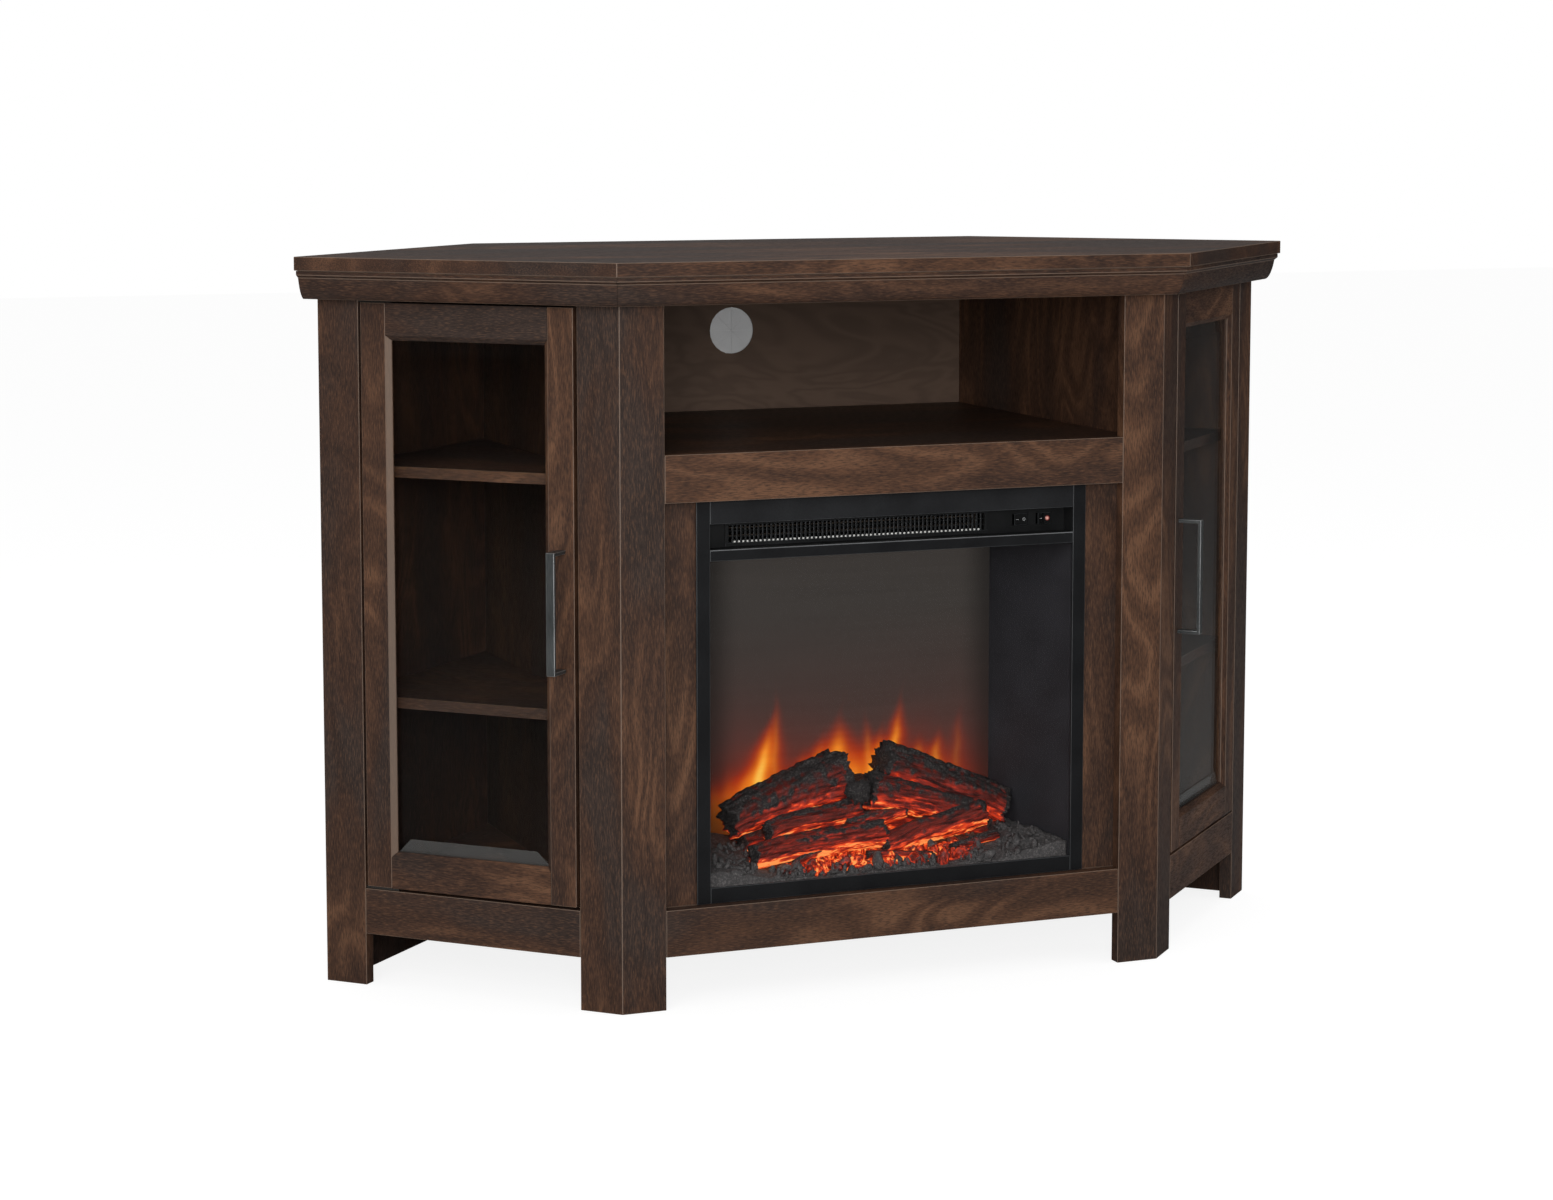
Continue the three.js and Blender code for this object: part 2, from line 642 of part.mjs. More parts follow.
// A folded steel box with two chambers; its liners narrow the lower one towards the flame screen.
function housing() {
  const shell = box(-housingHalf, housingHalf, insertFront, housingBack, housingFoot, housingTop);
  const back = housingBack - sheet;
  const inside = [-housingInner, housingInner, insertFront - sheet, back];
  const firebox = box(...inside, housingFoot + sheet, deckFoot);
  const chamber = box(...inside, deckTop, housingTop - sheet);
  const wall = [back - sheet, housingBack + sheet];
  const intakeHeights = [heaterFloor + 2 * intakeWidth, housingTop - 2 * intakeWidth];
  const intakes = [];
  for (let x = -intakeRowLength / 2; x <= intakeRowLength / 2; x += intakePitch) {
    intakes.push(box(x, x + intakeWidth, ...wall, ...intakeHeights));
  }
  const linerPlan = [
    [housingInner - sheet, linerFront],
    [housingInner + sheet / 2, linerFront],
    [screenHalf, linerBack],
    [screenHalf - sheet, linerBack],
  ];
  const linerHeights = [housingFoot + sheet / 2, deckFoot + sheet / 2];
  const liners = sides.map(({ side }) => prism(linerPlan, ...linerHeights, side));
  const cordHole = [cordHoleOffset, cordHoleHeight];
  const cordRod = (y, radius, length) => rod('y', cordHole[0], y, cordHole[1], radius, length, 16);
  const bush = cordRod(back - sheet, cordBushDiameter / 2, sheet + cordBushLength);
  const bore = cordRod(back - 2 * sheet, cordBushDiameter / 4, 4 * sheet + cordBushLength);
  const folded = cut(shell, firebox, chamber, ...intakes);
  part('firebox_housing', cut(join(folded, bush, ...liners), bore), blackSteel);
}

function bezel() {
  const face = new THREE.Shape(rectangle(-bezelHalf, bezelHalf, bezelFoot, bezelTop));
  face.holes.push(new THREE.Path(rectangle(-windowHalf, windowHalf, windowFoot, windowTop)));
  face.holes.push(new THREE.Path(rectangle(-windowHalf, windowHalf, channelFoot, channelTop)));
  part('insert_bezel', uprightPanel(face, board - bezelThickness, board), blackSteel);
  const paneHalf = windowHalf + windowLap;
  const paneDepths = [insertFront, insertFront + windowGlass];
  const pane = box(-paneHalf, paneHalf, ...paneDepths, windowFoot - windowLap, windowTop + windowLap);
  part('window_glass', pane, clearGlass);
}

// ---- Insert: control channel, grille and switches ----
function controls() {
  const half = housingInner - seat;
  const panelBack = channelBack + panelWall;
  const channelHeights = [channelFoot - seat, channelTop + seat];
  const body = box(-half, half, insertFront, panelBack, heaterFloor, channelTop + panelWall);
  const pocket = box(-windowHalf, windowHalf, insertFront - sheet, channelBack, ...channelHeights);
  const grilleFoot = channelFoot + grillePlay;
  const grilleTop = channelTop - grillePlay;
  const outlet = [grilleLeft + grilleBorder, grilleRight - grilleBorder];
  const outletHeights = [grilleFoot + grilleBorder, grilleTop - grilleBorder];
  const outletHole = box(...outlet, channelBack - sheet, panelBack + sheet, ...outletHeights);

  // A well for each rocker, in a can behind the panel.
  const wellHalf = rockerWidth / 2 + rockerPlay;
  const wellTall = rockerHeight / 2 + seat;
  const switchBox = (x, wall, near, far) => box(
    x - wellHalf - wall, x + wellHalf + wall,
    near, far,
    channelMiddle - wellTall - wall, channelMiddle + wellTall + wall,
  );
  const centres = Object.values(rockerCentres);
  const wells = centres.map((x) => switchBox(x, 0, channelBack - sheet, panelBack + wellDepth));
  const cans = centres.map((x) => switchBox(x, switchWall, channelBack + sheet, panelBack + switchDepth));
  part('control_panel', cut(join(body, ...cans), pocket, outletHole, ...wells), blackPlastic);

  const grilleDepths = [channelBack - seat - grilleThickness, channelBack - seat];
  const slots = Math.floor((outlet[1] - outlet[0]) / grilleSlotPitch);
  const firstSlot = (outlet[0] + outlet[1] - slots * grilleSlotPitch + grilleSlotPitch - grilleSlotWidth) / 2;
  const slotDepths = [grilleDepths[0] - seat, grilleDepths[1] + seat];
  const slotCutters = [];
  for (let i = 0; i < slots; i++) {
    const x = firstSlot + i * grilleSlotPitch;
    slotCutters.push(box(x, x + grilleSlotWidth, ...slotDepths, ...outletHeights));
  }
  const grille = box(grilleLeft, grilleRight, ...grilleDepths, grilleFoot, grilleTop);
  part('outlet_grille', cut(grille, ...slotCutters), blackPlastic);

  const tilt = THREE.MathUtils.degToRad(rockerTilt);
  const crest = rockerRise + rockerWidth / 2 * Math.tan(tilt);
  const cap = [
    [-rockerWidth / 2, -crest],
    [0, -rockerRise],
    [rockerWidth / 2, -crest],
    [rockerWidth * 0.4, rockerRise / 2],
    [-rockerWidth * 0.4, rockerRise / 2],
  ];
  for (const [name, x] of Object.entries(rockerCentres)) {
    const rocker = part(`${name}_rocker`, prism(cap, -rockerHeight / 2, rockerHeight / 2), blackPlastic);
    rocker.position.set(x, channelBack + panelWall + sheet, channelMiddle);
    rocker.rotation.z = tilt;
  }
}

// ---- Firebox: screen, ember bed, logs and lamp board ----
// Each log runs between two points: across as a share of half the screen, back as a share of the
// hearth's depth and up as a share of the set's height. Its two end radii are shares of the thickest
// log's diameter.
const logs = [
  { from: [-0.99, 0.58, 0.49], to: [-0.13, 0.76, 0.78], radii: [0.32, 0.5] },
  { from: [0.14, 0.785, 0.82], to: [0.97, 0.7, 0.45], radii: [0.44, 0.3] },
  { from: [-0.02, 0.56, 0.64], to: [0.74, 0.63, 0.46], radii: [0.34, 0.18] },
  { from: [-0.12, 0.4, 0.7], to: [-0.03, 0.74, 0.66], radii: [0.3, 0.32] },
  { from: [-0.75, 0.41, 0.4], to: [-0.1, 0.51, 0.53], radii: [0.2, 0.24] },
  { from: [-0.87, 0.3, 0.24], to: [0.05, 0.38, 0.34], radii: [0.22, 0.3] },
  { from: [0.02, 0.33, 0.22], to: [0.76, 0.51, 0.37], radii: [0.24, 0.28] },
];

// Bark swells and shrinks the round of a log a little.
function logSolid({ from, to, radii }, grow) {
  const [start, end] = [from, to].map(([across, back, up]) => new THREE.Vector3(
    across * screenHalf,
    insertFront + back * screenDepth,
    fireFloor + up * logSetHeight,
  ));
  const run = end.clone().sub(start);
  const [startRadius, endRadius] = radii.map((share) => share * thickLogDiameter + grow);
  const geometry = new THREE.CylinderGeometry(endRadius, startRadius, run.length() + 2 * grow, 9, 3);
  const points = geometry.attributes.position;
  for (let i = 0; i < points.count; i++) {
    const [x, y, z] = [points.getX(i), points.getY(i), points.getZ(i)];
    const bark = 1 + 0.07 * Math.sin(3 * Math.atan2(z, x) + y / endRadius);
    points.setX(i, x * bark);
    points.setZ(i, z * bark);
  }
  const up = new THREE.Vector3(0, 1, 0);
  const turn = new THREE.Quaternion().setFromUnitVectors(up, run.normalize());
  return geometry.applyQuaternion(turn).translate(...start.add(end).divideScalar(2));
}

function fire() {
  const screenDepths = [screenFront, screenFront + screenThickness];
  const screen = box(-screenHalf, screenHalf, ...screenDepths, fireFloor, deckFoot - seat);
  part('flame_screen', screen, smokedScreen);

  const bedFront = linerFront + 2 * sheet;
  const bedBack = screenFront - 2 * sheet;
  const narrowing = (housingInner - screenHalf) / (linerBack - linerFront);
  const edgeAt = (y) => housingInner - sheet - narrowing * (y - linerFront) - 2 * seat;
  const bedMiddle = (bedFront + bedBack) / 2;
  const plan = prism([
    [-edgeAt(bedFront), bedFront],
    [edgeAt(bedFront), bedFront],
    [edgeAt(bedBack), bedBack],
    [-edgeAt(bedBack), bedBack],
  ], fireFloor, deckFoot);
  const rise = polygon([
    [bedFront, 0],
    [bedBack, 0],
    [bedBack, emberBack],
    [bedMiddle, (emberFront + emberBack) / 2 + sheet],
    [bedFront, emberFront],
  ]);
  const bedPlace = (x, y, z) => [x, y, fireFloor + z];
  const mound = moulding(rise, () => -housingInner, () => housingInner, bedPlace);
  const lampBoardLength = 2 * (edgeAt(bedMiddle) - lampEndRoom);
  const pocketHalf = lampBoardLength / 2 + lampDiameter;
  const pocketDepths = [bedMiddle - 2 * lampDiameter, bedMiddle + 2 * lampDiameter];
  const pocket = box(-pocketHalf, pocketHalf, ...pocketDepths, fireFloor - sheet, fireFloor + emberPocket);
  const bed = cut(common(plan, mound), pocket, ...logs.map((log) => logSolid(log, seat)));
  part('ember_bed', bed, emberResin);
  part('log_set', join(...logs.map((log) => logSolid(log, 0))), logResin);

  const stripHalf = lampBoardLength / 2;
  const stripDepths = [bedMiddle - lampDiameter, bedMiddle + lampDiameter];
  const strip = box(-stripHalf, stripHalf, ...stripDepths, fireFloor, fireFloor + sheet);
  const lamps = [];
  for (let i = 0; i < lampCount; i++) {
    const x = lampBoardLength * ((i + 0.5) / lampCount - 0.5);
    lamps.push(rod('z', x, bedMiddle, fireFloor + sheet / 2, lampDiameter / 2, lampDiameter, 8));
  }
  part('lamp_board', join(strip, ...lamps), hardboard);
}

// ---- Flame spindle and its motor ----
function spindle() {
  const left = -spindleLength / 2;
  const vaneRun = spindleLength - motorLength - 4 * bracket;
  const vanes = [];
  for (let i = 0; i < spindleVanes; i++) {
    const vane = box(-spindleRod, spindleRod, -sheet / 4, sheet / 4, -spindleRadius, spindleRadius);
    vane.rotateZ(Math.PI / 6).rotateX(i * Math.PI / 5);
    vanes.push(vane.translate(left + motorLength / 2 + vaneRun * (i + 0.5) / spindleVanes, 0, 0));
  }
  const shaft = rod('x', left, 0, 0, spindleRod / 2, spindleLength, 8);
  const turning = part('flicker_spindle', join(shaft, ...vanes), brightSteel);
  turning.position.set(0, spindleY, spindleZ);

  const bore = spindleRod / 2 + bearingClearance;
  const right = spindleLength / 2;
  const motorStart = right - motorLength / 2;
  const along = (start, radius, length, sides) => rod('x', start, spindleY, spindleZ, radius, length, sides);
  const footDepths = [spindleY - spindleRod, spindleY + spindleRod];
  const can = along(motorStart, motorDiameter / 2, motorLength, 16);
  const saddle = box(motorStart, motorStart + motorLength, ...footDepths, fireFloor, spindleZ);
  const base = box(left - bracket, right, ...footDepths, fireFloor, fireFloor + sheet);
  const stand = box(left - bracket, left + bracket, ...footDepths, fireFloor, spindleZ + 2 * spindleRod);
  const shaftHole = along(left - 2 * bracket, bore, spindleLength + 2 * bracket + seat, 12);
  part('spindle_motor', cut(join(can, saddle, base, stand), shaftHole), blackSteel);
}

// ---- Heater element and tangential blower over the firebox ----
function heater() {
  const [x0, x1] = [grilleLeft + heaterEndRoom, grilleRight - heaterEndRoom];
  const depths = [channelBack + panelWall + heaterDepth, channelBack + panelWall + 2 * heaterDepth];
  const top = housingTop - sheet - seat;
  const pieces = [
    box(x0, x0 + bracket, ...depths, heaterFloor, top),
    box(x1 - bracket, x1, ...depths, heaterFloor, top),
  ];
  for (let i = 0; i < heaterRibbons; i++) {
    const z = heaterFloor + (top - heaterFloor) * (i + 0.7) / (heaterRibbons + 0.4);
    pieces.push(box(x0 + bracket / 2, x1 - bracket / 2, ...depths, z - sheet / 2, z + sheet / 2));
  }
  part('heater_element', join(...pieces), nichrome);
}

function blower() {
  const disc = bracket;
  const shaftOver = 3 * bracket;
  const wheel = [
    rod('x', 0, 0, 0, blowerRadius, disc, 16),
    rod('x', blowerLength - disc, 0, 0, blowerRadius, disc, 16),
    rod('x', -shaftOver, 0, 0, blowerShaft / 2, blowerLength + 2 * shaftOver, 8),
  ];
  const bladeEnds = [disc / 2, blowerLength - disc / 2];
  const bladeRise = [blowerRadius - blowerShaft, blowerRadius - seat];
  for (let i = 0; i < blowerBlades; i++) {
    const blade = box(...bladeEnds, -sheet / 4, sheet / 4, ...bladeRise);
    wheel.push(blade.rotateX(2 * Math.PI * i / blowerBlades));
  }
  const rotor = part('blower_rotor', join(...wheel), blackPlastic);
  rotor.position.set(blowerLeft, blowerY, blowerZ);

  const bore = blowerShaft / 2 + bearingClearance;
  const motorStart = blowerLeft + blowerLength + bracket;
  const motorEnd = motorStart + blowerMotorLength;
  const standStart = blowerLeft - 2 * bracket;
  const footDepths = [blowerY - blowerShaft, blowerY + blowerShaft];
  const along = (start, radius, length, sides) => rod('x', start, blowerY, blowerZ, radius, length, sides);
  const base = box(standStart, motorEnd, ...footDepths, heaterFloor, heaterFloor + sheet);
  const stand = box(standStart, standStart + bracket, ...footDepths, heaterFloor, blowerZ + blowerShaft);
  const can = along(motorStart, blowerRadius - bracket, blowerMotorLength, 16);
  const saddle = box(motorStart, motorEnd, ...footDepths, heaterFloor, blowerZ);
  const shaftHole = along(standStart - bracket - seat, bore, blowerLength + 6 * bracket + 2 * seat, 12);
  part('blower_motor', cut(join(base, stand, can, saddle), shaftHole), blackSteel);
}

topSlab();
crown();
frame();
panels();
for (const each of sides) {
  door(each);
  hardware(each);
}
housing();
bezel();
controls();
fire();
spindle();
heater();
blower();

cabinet.position.y = -slabMiddle;

export default cabinet;
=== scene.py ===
import math
import random
from functools import partial

import bmesh
import bpy
from mathutils import Euler, Matrix, Vector, noise


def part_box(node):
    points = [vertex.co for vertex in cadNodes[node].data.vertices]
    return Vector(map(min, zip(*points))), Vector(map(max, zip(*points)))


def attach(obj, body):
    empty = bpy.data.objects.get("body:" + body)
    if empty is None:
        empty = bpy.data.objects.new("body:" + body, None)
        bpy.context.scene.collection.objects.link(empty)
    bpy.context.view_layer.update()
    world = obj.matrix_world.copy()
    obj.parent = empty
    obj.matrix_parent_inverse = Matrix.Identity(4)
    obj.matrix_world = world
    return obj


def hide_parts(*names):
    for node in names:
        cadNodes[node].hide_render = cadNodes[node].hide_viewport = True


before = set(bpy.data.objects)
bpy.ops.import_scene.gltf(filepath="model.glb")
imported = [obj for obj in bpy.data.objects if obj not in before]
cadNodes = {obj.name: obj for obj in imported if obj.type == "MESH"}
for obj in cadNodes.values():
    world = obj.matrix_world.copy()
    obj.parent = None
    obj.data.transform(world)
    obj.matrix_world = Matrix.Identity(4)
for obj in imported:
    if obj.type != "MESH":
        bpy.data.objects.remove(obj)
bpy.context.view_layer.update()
print("frame loaded:", len(cadNodes), "solids")

mm = 0.001
frontFace = -246.45  # mm, y of the cabinet's front face; depths are counted back from it
sideNames = {"left": -1, "right": 1}


# sRGB hex to the linear values that shaders take
def linearColour(hexValue, alpha=1.0):
    channels = [int(hexValue[i:i + 2], 16) / 255 for i in (1, 3, 5)]
    return tuple(c / 12.92 if c <= 0.04045 else ((c + 0.055) / 1.055) ** 2.4 for c in channels) + (alpha,)


# adds a node, sets its own settings, then fills or links its inputs: by name, or by a list in the order of
# the sockets that show; a node stands for its first output that shows, and a hex string for its colour
def addNode(tree, kind, settings=None, inputs=()):
    node = tree.nodes.new("ShaderNode" + kind)
    for name, value in (settings or {}).items():
        setattr(node, name, value)
    if isinstance(inputs, dict):
        pairs = [(node.inputs[name], value) for name, value in inputs.items()]
    else:
        pairs = zip([s for s in node.inputs if s.enabled], inputs)
    for socket, value in pairs:
        if isinstance(value, bpy.types.Node):
            value = next(s for s in value.outputs if s.enabled)
        if isinstance(value, bpy.types.NodeSocket):
            tree.links.new(value, socket)
        else:
            socket.default_value = linearColour(value) if isinstance(value, str) else value
    return node


# an empty material, given as a function that adds nodes to it; pieces find their materials by name
def startMaterial(name):
    material = bpy.data.materials.new(name)
    material.use_nodes = True
    material.node_tree.nodes.clear()
    return partial(addNode, material.node_tree)


# settings that many nodes share
smoothStep = {"interpolation_type": "SMOOTHSTEP"}
colourMix = {"data_type": "RGBA"}
textureSpace = {"vector_type": "TEXTURE"}
multiply = {"operation": "MULTIPLY"}
maximum = {"operation": "MAXIMUM"}
greaterThan = {"operation": "GREATER_THAN"}

# camera, at the photograph's angle
camera = {
    "focal": 76.52, "sensor": 36, "shiftUp": -0.0798,
    "place": (-1.4425, -3.5136, 0.9595), "tilt": 83.735, "turn": -21.662}
cameraData = bpy.data.cameras.new("camera")
cameraData.lens = camera["focal"]
cameraData.sensor_width = camera["sensor"]
cameraData.shift_y = camera["shiftUp"]
cameraObject = bpy.data.objects.new("camera", cameraData)
cameraObject.location = camera["place"]
cameraObject.rotation_euler = Euler((math.radians(camera["tilt"]), 0, math.radians(camera["turn"])))
bpy.context.scene.collection.objects.link(cameraObject)
bpy.context.scene.camera = cameraObject
bpy.context.scene.view_settings.view_transform = "Standard"

# studio: pale floor, white surroundings, soft lamps
studio = {
    "ambient": 0.42,
    "dim": 0.03,  # what gloss sees in front and to the right
    "bright": 0.2,  # what gloss sees behind and to the left
    "brightSide": (-0.6, 0.8, 0.0),
    "brightFrom": 0.45,  # how far towards that side the bright part starts
    "floorGlow": 0.86,
    "floorHalf": 14,
    "aim": (0, 0, 0.4),
    "lamps": [
        {"name": "keyLamp", "place": (-2.9, -3.0, 2.6), "size": (2.0, 1.8), "power": 40},
        {"name": "frontLamp", "place": (-1.5, -3.9, 1.15), "size": (1.1, 1.3), "power": 60},
        {"name": "fillLamp", "place": (3.2, -2.2, 2.1), "size": (1.8, 1.8), "power": 14},
        {"name": "topLamp", "place": (0.2, 0.4, 3.6), "size": (3.0, 2.0), "power": 24},
    ],
}

world = bpy.data.worlds.new("studioWorld")
bpy.context.scene.world = world
world.use_nodes = True
world.node_tree.nodes.clear()
add = partial(addNode, world.node_tree)
rays = add("LightPath").outputs
direction = add("TexCoord").outputs["Generated"]
towardsBright = add("VectorMath", {"operation": "DOT_PRODUCT"}, [direction, studio["brightSide"]])
backdrop = add("MapRange", smoothStep, [
    towardsBright, 0.0, studio["brightFrom"], studio["dim"], studio["bright"]])
ambient = add("Background", inputs={"Color": "#ffffff", "Strength": studio["ambient"]})
white = add("Background", inputs={"Color": "#ffffff", "Strength": 1.0})
glossSees = add("Background", inputs={"Color": "#ffffff", "Strength": backdrop})
seen = add("Math", maximum, [rays["Is Camera Ray"], rays["Is Transmission Ray"]])
plain = add("MixShader", inputs=[seen, ambient, white])
mirrored = add("Math", greaterThan, [rays["Glossy Depth"], 0.5])  # also inside a pane
withGloss = add("MixShader", inputs=[mirrored, plain, glossSees])
add("OutputWorld", inputs=[withGloss])

for lamp in studio["lamps"]:
    data = bpy.data.lights.new(lamp["name"], "AREA")
    data.shape = "RECTANGLE"
    data.size, data.size_y = lamp["size"]
    data.energy = lamp["power"]
    lampObject = bpy.data.objects.new(lamp["name"], data)
    lampObject.location = lamp["place"]
    aim = Vector(studio["aim"]) - Vector(lamp["place"])
    lampObject.rotation_euler = aim.to_track_quat("-Z", "Y").to_euler()
    bpy.context.scene.collection.objects.link(lampObject)

# seamless paper: white to the eye, with the object's soft shadow
add = startMaterial("seamlessPaper")
rays = add("LightPath").outputs
paperSurface = add("BsdfDiffuse", inputs={"Color": "#b4b4b4"})
paperLit = add("BsdfDiffuse", inputs={"Color": "#8f8f8f"})
paperGlow = add("Emission", inputs={"Color": "#ffffff", "Strength": studio["floorGlow"]})
paperWhite = add("AddShader", inputs=[paperLit, paperGlow])
straight = add("Math", {"operation": "LESS_THAN"}, [rays["Glossy Depth"], 0.5])
through = add("Math", multiply, [rays["Is Transmission Ray"], straight])
seen = add("Math", maximum, [rays["Is Camera Ray"], through])
paper = add("MixShader", inputs=[seen, paperSurface, paperWhite])
add("OutputMaterial", inputs=[paper])
floorMesh = bpy.data.meshes.new("floor")
reach = studio["floorHalf"]
corners = [(-reach, -reach, 0), (reach, -reach, 0), (reach, reach, 0), (-reach, reach, 0)]
floorMesh.from_pydata(corners, [], [(0, 1, 2, 3)])
floorMesh.materials.append(bpy.data.materials["seamlessPaper"])
floorObject = bpy.data.objects.new("floor", floorMesh)
bpy.context.scene.collection.objects.link(floorObject)
print("camera, lamps and floor set")

# walnut laminate: a printed wood paper under matt melamine. Broad patches run from cool to warm brown, thin
# lighter growth threads curl round a few knots, and short dark pores lie along the grain; the melamine gives
# a low, even sheen.
walnut = {
    "dark": "#261c18",
    "cool": "#40332d",
    "brown": "#483227",
    "warm": "#5f412f",
    "thread": "#815c43",
    "edge": "#8d7868",  # painted highlight where a board is eased, partly rubbed wear
    "shadow": "#0d0b0b",  # painted shade inside the side cabinets
    "patch": 95,  # mm across a patch of tone
    "figure": 75,  # mm across the figure that the growth threads follow
    "rings": 62,  # threads over the range of the figure
    "knots": 190,  # mm between knots
    "pore": 1.1,  # mm wide, about twice the real print so that it shows
    "poreStretch": 7,
    "stretch": 3.6,  # patches and threads are this much longer than wide
    "sheetShift": 7.3,  # m between the prints of two boards, times the board's random share
    # values of a pattern between which a tone comes in, then the least and most of that tone
    "warmth": (0.46, 0.66, 0.0, 1.0),
    "coolness": (0.5, 0.36, 0.0, 1.0),
    "knotReach": (0.03, 0.24, 1.0, 0.0),
    "crests": (0.15, 1.0, 0.0, 0.5),
    "troughs": (0.0, -1.0, 0.0, 0.26),
    "pores": (0.46, 0.7, 0.0, 0.7),
    "flecks": (0.46, 0.3, 0.0, 0.36),
    "knotPush": 0.3,  # of the figure's range
    "knotDark": 0.5,
    "roughness": (0.42, 0.6),
    "specular": 0.3,
    "poreDepth": 0.15 * mm,
}


def walnutLaminate(name, grainTurn, paintedHighlight=0.0, shade=0.0):
    add = startMaterial(name)
    place = add("TexCoord").outputs["Object"]
    board = add("ObjectInfo").outputs["Random"]
    offset = add("Math", multiply, [board, walnut["sheetShift"]])  # each board has its own print
    spot = add("VectorMath", {"operation": "ADD"}, [place, offset])
    turn = [math.radians(a) for a in grainTurn]
    along, fine = [
        add("Mapping", textureSpace, {"Vector": spot, "Rotation": turn, "Scale": (1, 1, stretch)})
        for stretch in (walnut["stretch"], walnut["poreStretch"])]
    patch = add("TexNoise", inputs={
        "Vector": along, "Scale": 1000 / walnut["patch"], "Detail": 3.0, "Roughness": 0.5,
        "Distortion": 0.35})
    warmth = add("MapRange", smoothStep, [patch, *walnut["warmth"]])
    coolness = add("MapRange", smoothStep, [patch, *walnut["coolness"]])
    # knots push the growth threads aside and darken their middle; threads show on the warm patches
    knots = add("TexVoronoi", inputs={
        "Vector": along, "Scale": 1000 / walnut["knots"], "Randomness": 0.9})
    knot = add("MapRange", smoothStep, [knots, *walnut["knotReach"]])
    swirl = add("TexNoise", inputs={
        "Vector": along, "Scale": 1000 / walnut["figure"], "Detail": 1.5, "Roughness": 0.4,
        "Distortion": 0.4})
    bent = add("Math", {"operation": "MULTIPLY_ADD"}, [knot, walnut["knotPush"], swirl])
    lines = add("Math", multiply, [bent, walnut["rings"]])
    wave = add("Math", {"operation": "SINE"}, [lines])
    crest = add("MapRange", smoothStep, [wave, *walnut["crests"]])
    thread = add("Math", multiply, [crest, warmth])
    trough = add("MapRange", smoothStep, [wave, *walnut["troughs"]])
    knotDark = add("Math", multiply, [knot, walnut["knotDark"]])
    # pores and the small light flecks between them
    pores = add("TexNoise", inputs={
        "Vector": fine, "Scale": 1000 / walnut["pore"], "Detail": 2.0, "Roughness": 0.6})
    pore = add("MapRange", None, [pores, *walnut["pores"]])
    fleck = add("MapRange", None, [pores, *walnut["flecks"]])
    # the tones lie over each other like the passes of a print; the last two passes are a painted highlight on
    # eased edges, partly rubbed wear, and painted shade inside the side cabinets
    colour = add("Mix", colourMix, [warmth, walnut["brown"], walnut["warm"]])
    for amount, tone in ((coolness, "cool"), (thread, "thread"), (trough, "dark"), (knotDark, "dark"),
                         (fleck, "thread"), (pore, "dark"), (paintedHighlight, "edge"), (shade, "shadow")):
        colour = add("Mix", colourMix, [amount, colour, walnut[tone]])
    sheen = add("MapRange", None, [pore, *walnut["pores"][2:], *walnut["roughness"]])
    relief = add("Bump", {"invert": True}, {
        "Strength": 0.3, "Distance": walnut["poreDepth"], "Height": pore})
    melamine = add("BsdfPrincipled", inputs={
        "Base Color": colour, "Roughness": sheen, "Specular IOR Level": walnut["specular"],
        "Normal": relief})
    add("OutputMaterial", inputs=[melamine])


grainTurns = {
    "upright": (0, 0, 0), "across": (0, 90, 0), "leftWing": (0, 90, -45), "rightWing": (0, 90, 45)}
for way, turn in grainTurns.items():
    walnutLaminate("walnutLaminate_" + way, turn)
    # eased edges take a painted highlight, partly rubbed wear
    walnutLaminate("easedLaminateEdge_" + way, turn, paintedHighlight=0.6)
    # faces that look into the side cabinets take painted shade
    walnutLaminate("darkLaminateInside_" + way, turn, shade=0.5)

# brown hardboard: pressed fibre with a printed face towards the room, with painted shade inside the side
# cabinets
hardboard = {
    "fibre": "#5b4030",
    "darkFibre": "#3c2a20",
    "print": "#6f5a4c",
    "printDark": "#4a3c33",
    "figure": (-1.0, 1.0, 0.6, 0.9),
    "shade": 0.5,
    "grit": 1.6,  # mm across a clump of fibres
    "gritDepth": 0.2 * mm,
}
add = startMaterial("printedHardboard")
place = add("TexCoord").outputs["Object"]
parts = add("SeparateXYZ", inputs=[place]).outputs
low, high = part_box("back_panel")
outside = add("Math", greaterThan, [parts["Y"], (low.y + high.y) / 2])
along = add("Mapping", textureSpace, {
    "Vector": place, "Rotation": (0, math.radians(90), 0), "Scale": (1, 1, walnut["stretch"])})
swirl = add("TexNoise", inputs={
    "Vector": along, "Scale": 1000 / walnut["figure"], "Detail": 3.0, "Distortion": 0.7})
lines = add("Math", multiply, [swirl, walnut["rings"]])
wave = add("Math", {"operation": "SINE"}, [lines])
figure = add("MapRange", None, [wave, *hardboard["figure"]])
printed = add("Mix", colourMix, [figure, hardboard["printDark"], hardboard["print"]])
fibre = add("TexNoise", inputs={
    "Vector": place, "Scale": 1000 / hardboard["grit"], "Detail": 4.0, "Roughness": 0.7})
pressed = add("Mix", colourMix, [fibre, hardboard["darkFibre"], hardboard["fibre"]])
fromMiddle = add("Math", {"operation": "ABSOLUTE"}, [parts["X"]])
# the back's printed face inside the side cabinets takes painted shade
shadedCabinetMask = add("Math", greaterThan, [fromMiddle, -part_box("left_divider")[0].x])
shade = add("Math", multiply, [shadedCabinetMask, hardboard["shade"]])
shaded = add("Mix", colourMix, [shade, printed, walnut["shadow"]])
colour = add("Mix", colourMix, [outside, shaded, pressed])
relief = add("Bump", inputs={"Strength": 0.3, "Distance": hardboard["gritDepth"], "Height": fibre})
board = add("BsdfPrincipled", inputs={
    "Base Color": colour, "Roughness": 0.66, "Specular IOR Level": 0.3, "Normal": relief})
add("OutputMaterial", inputs=[board])

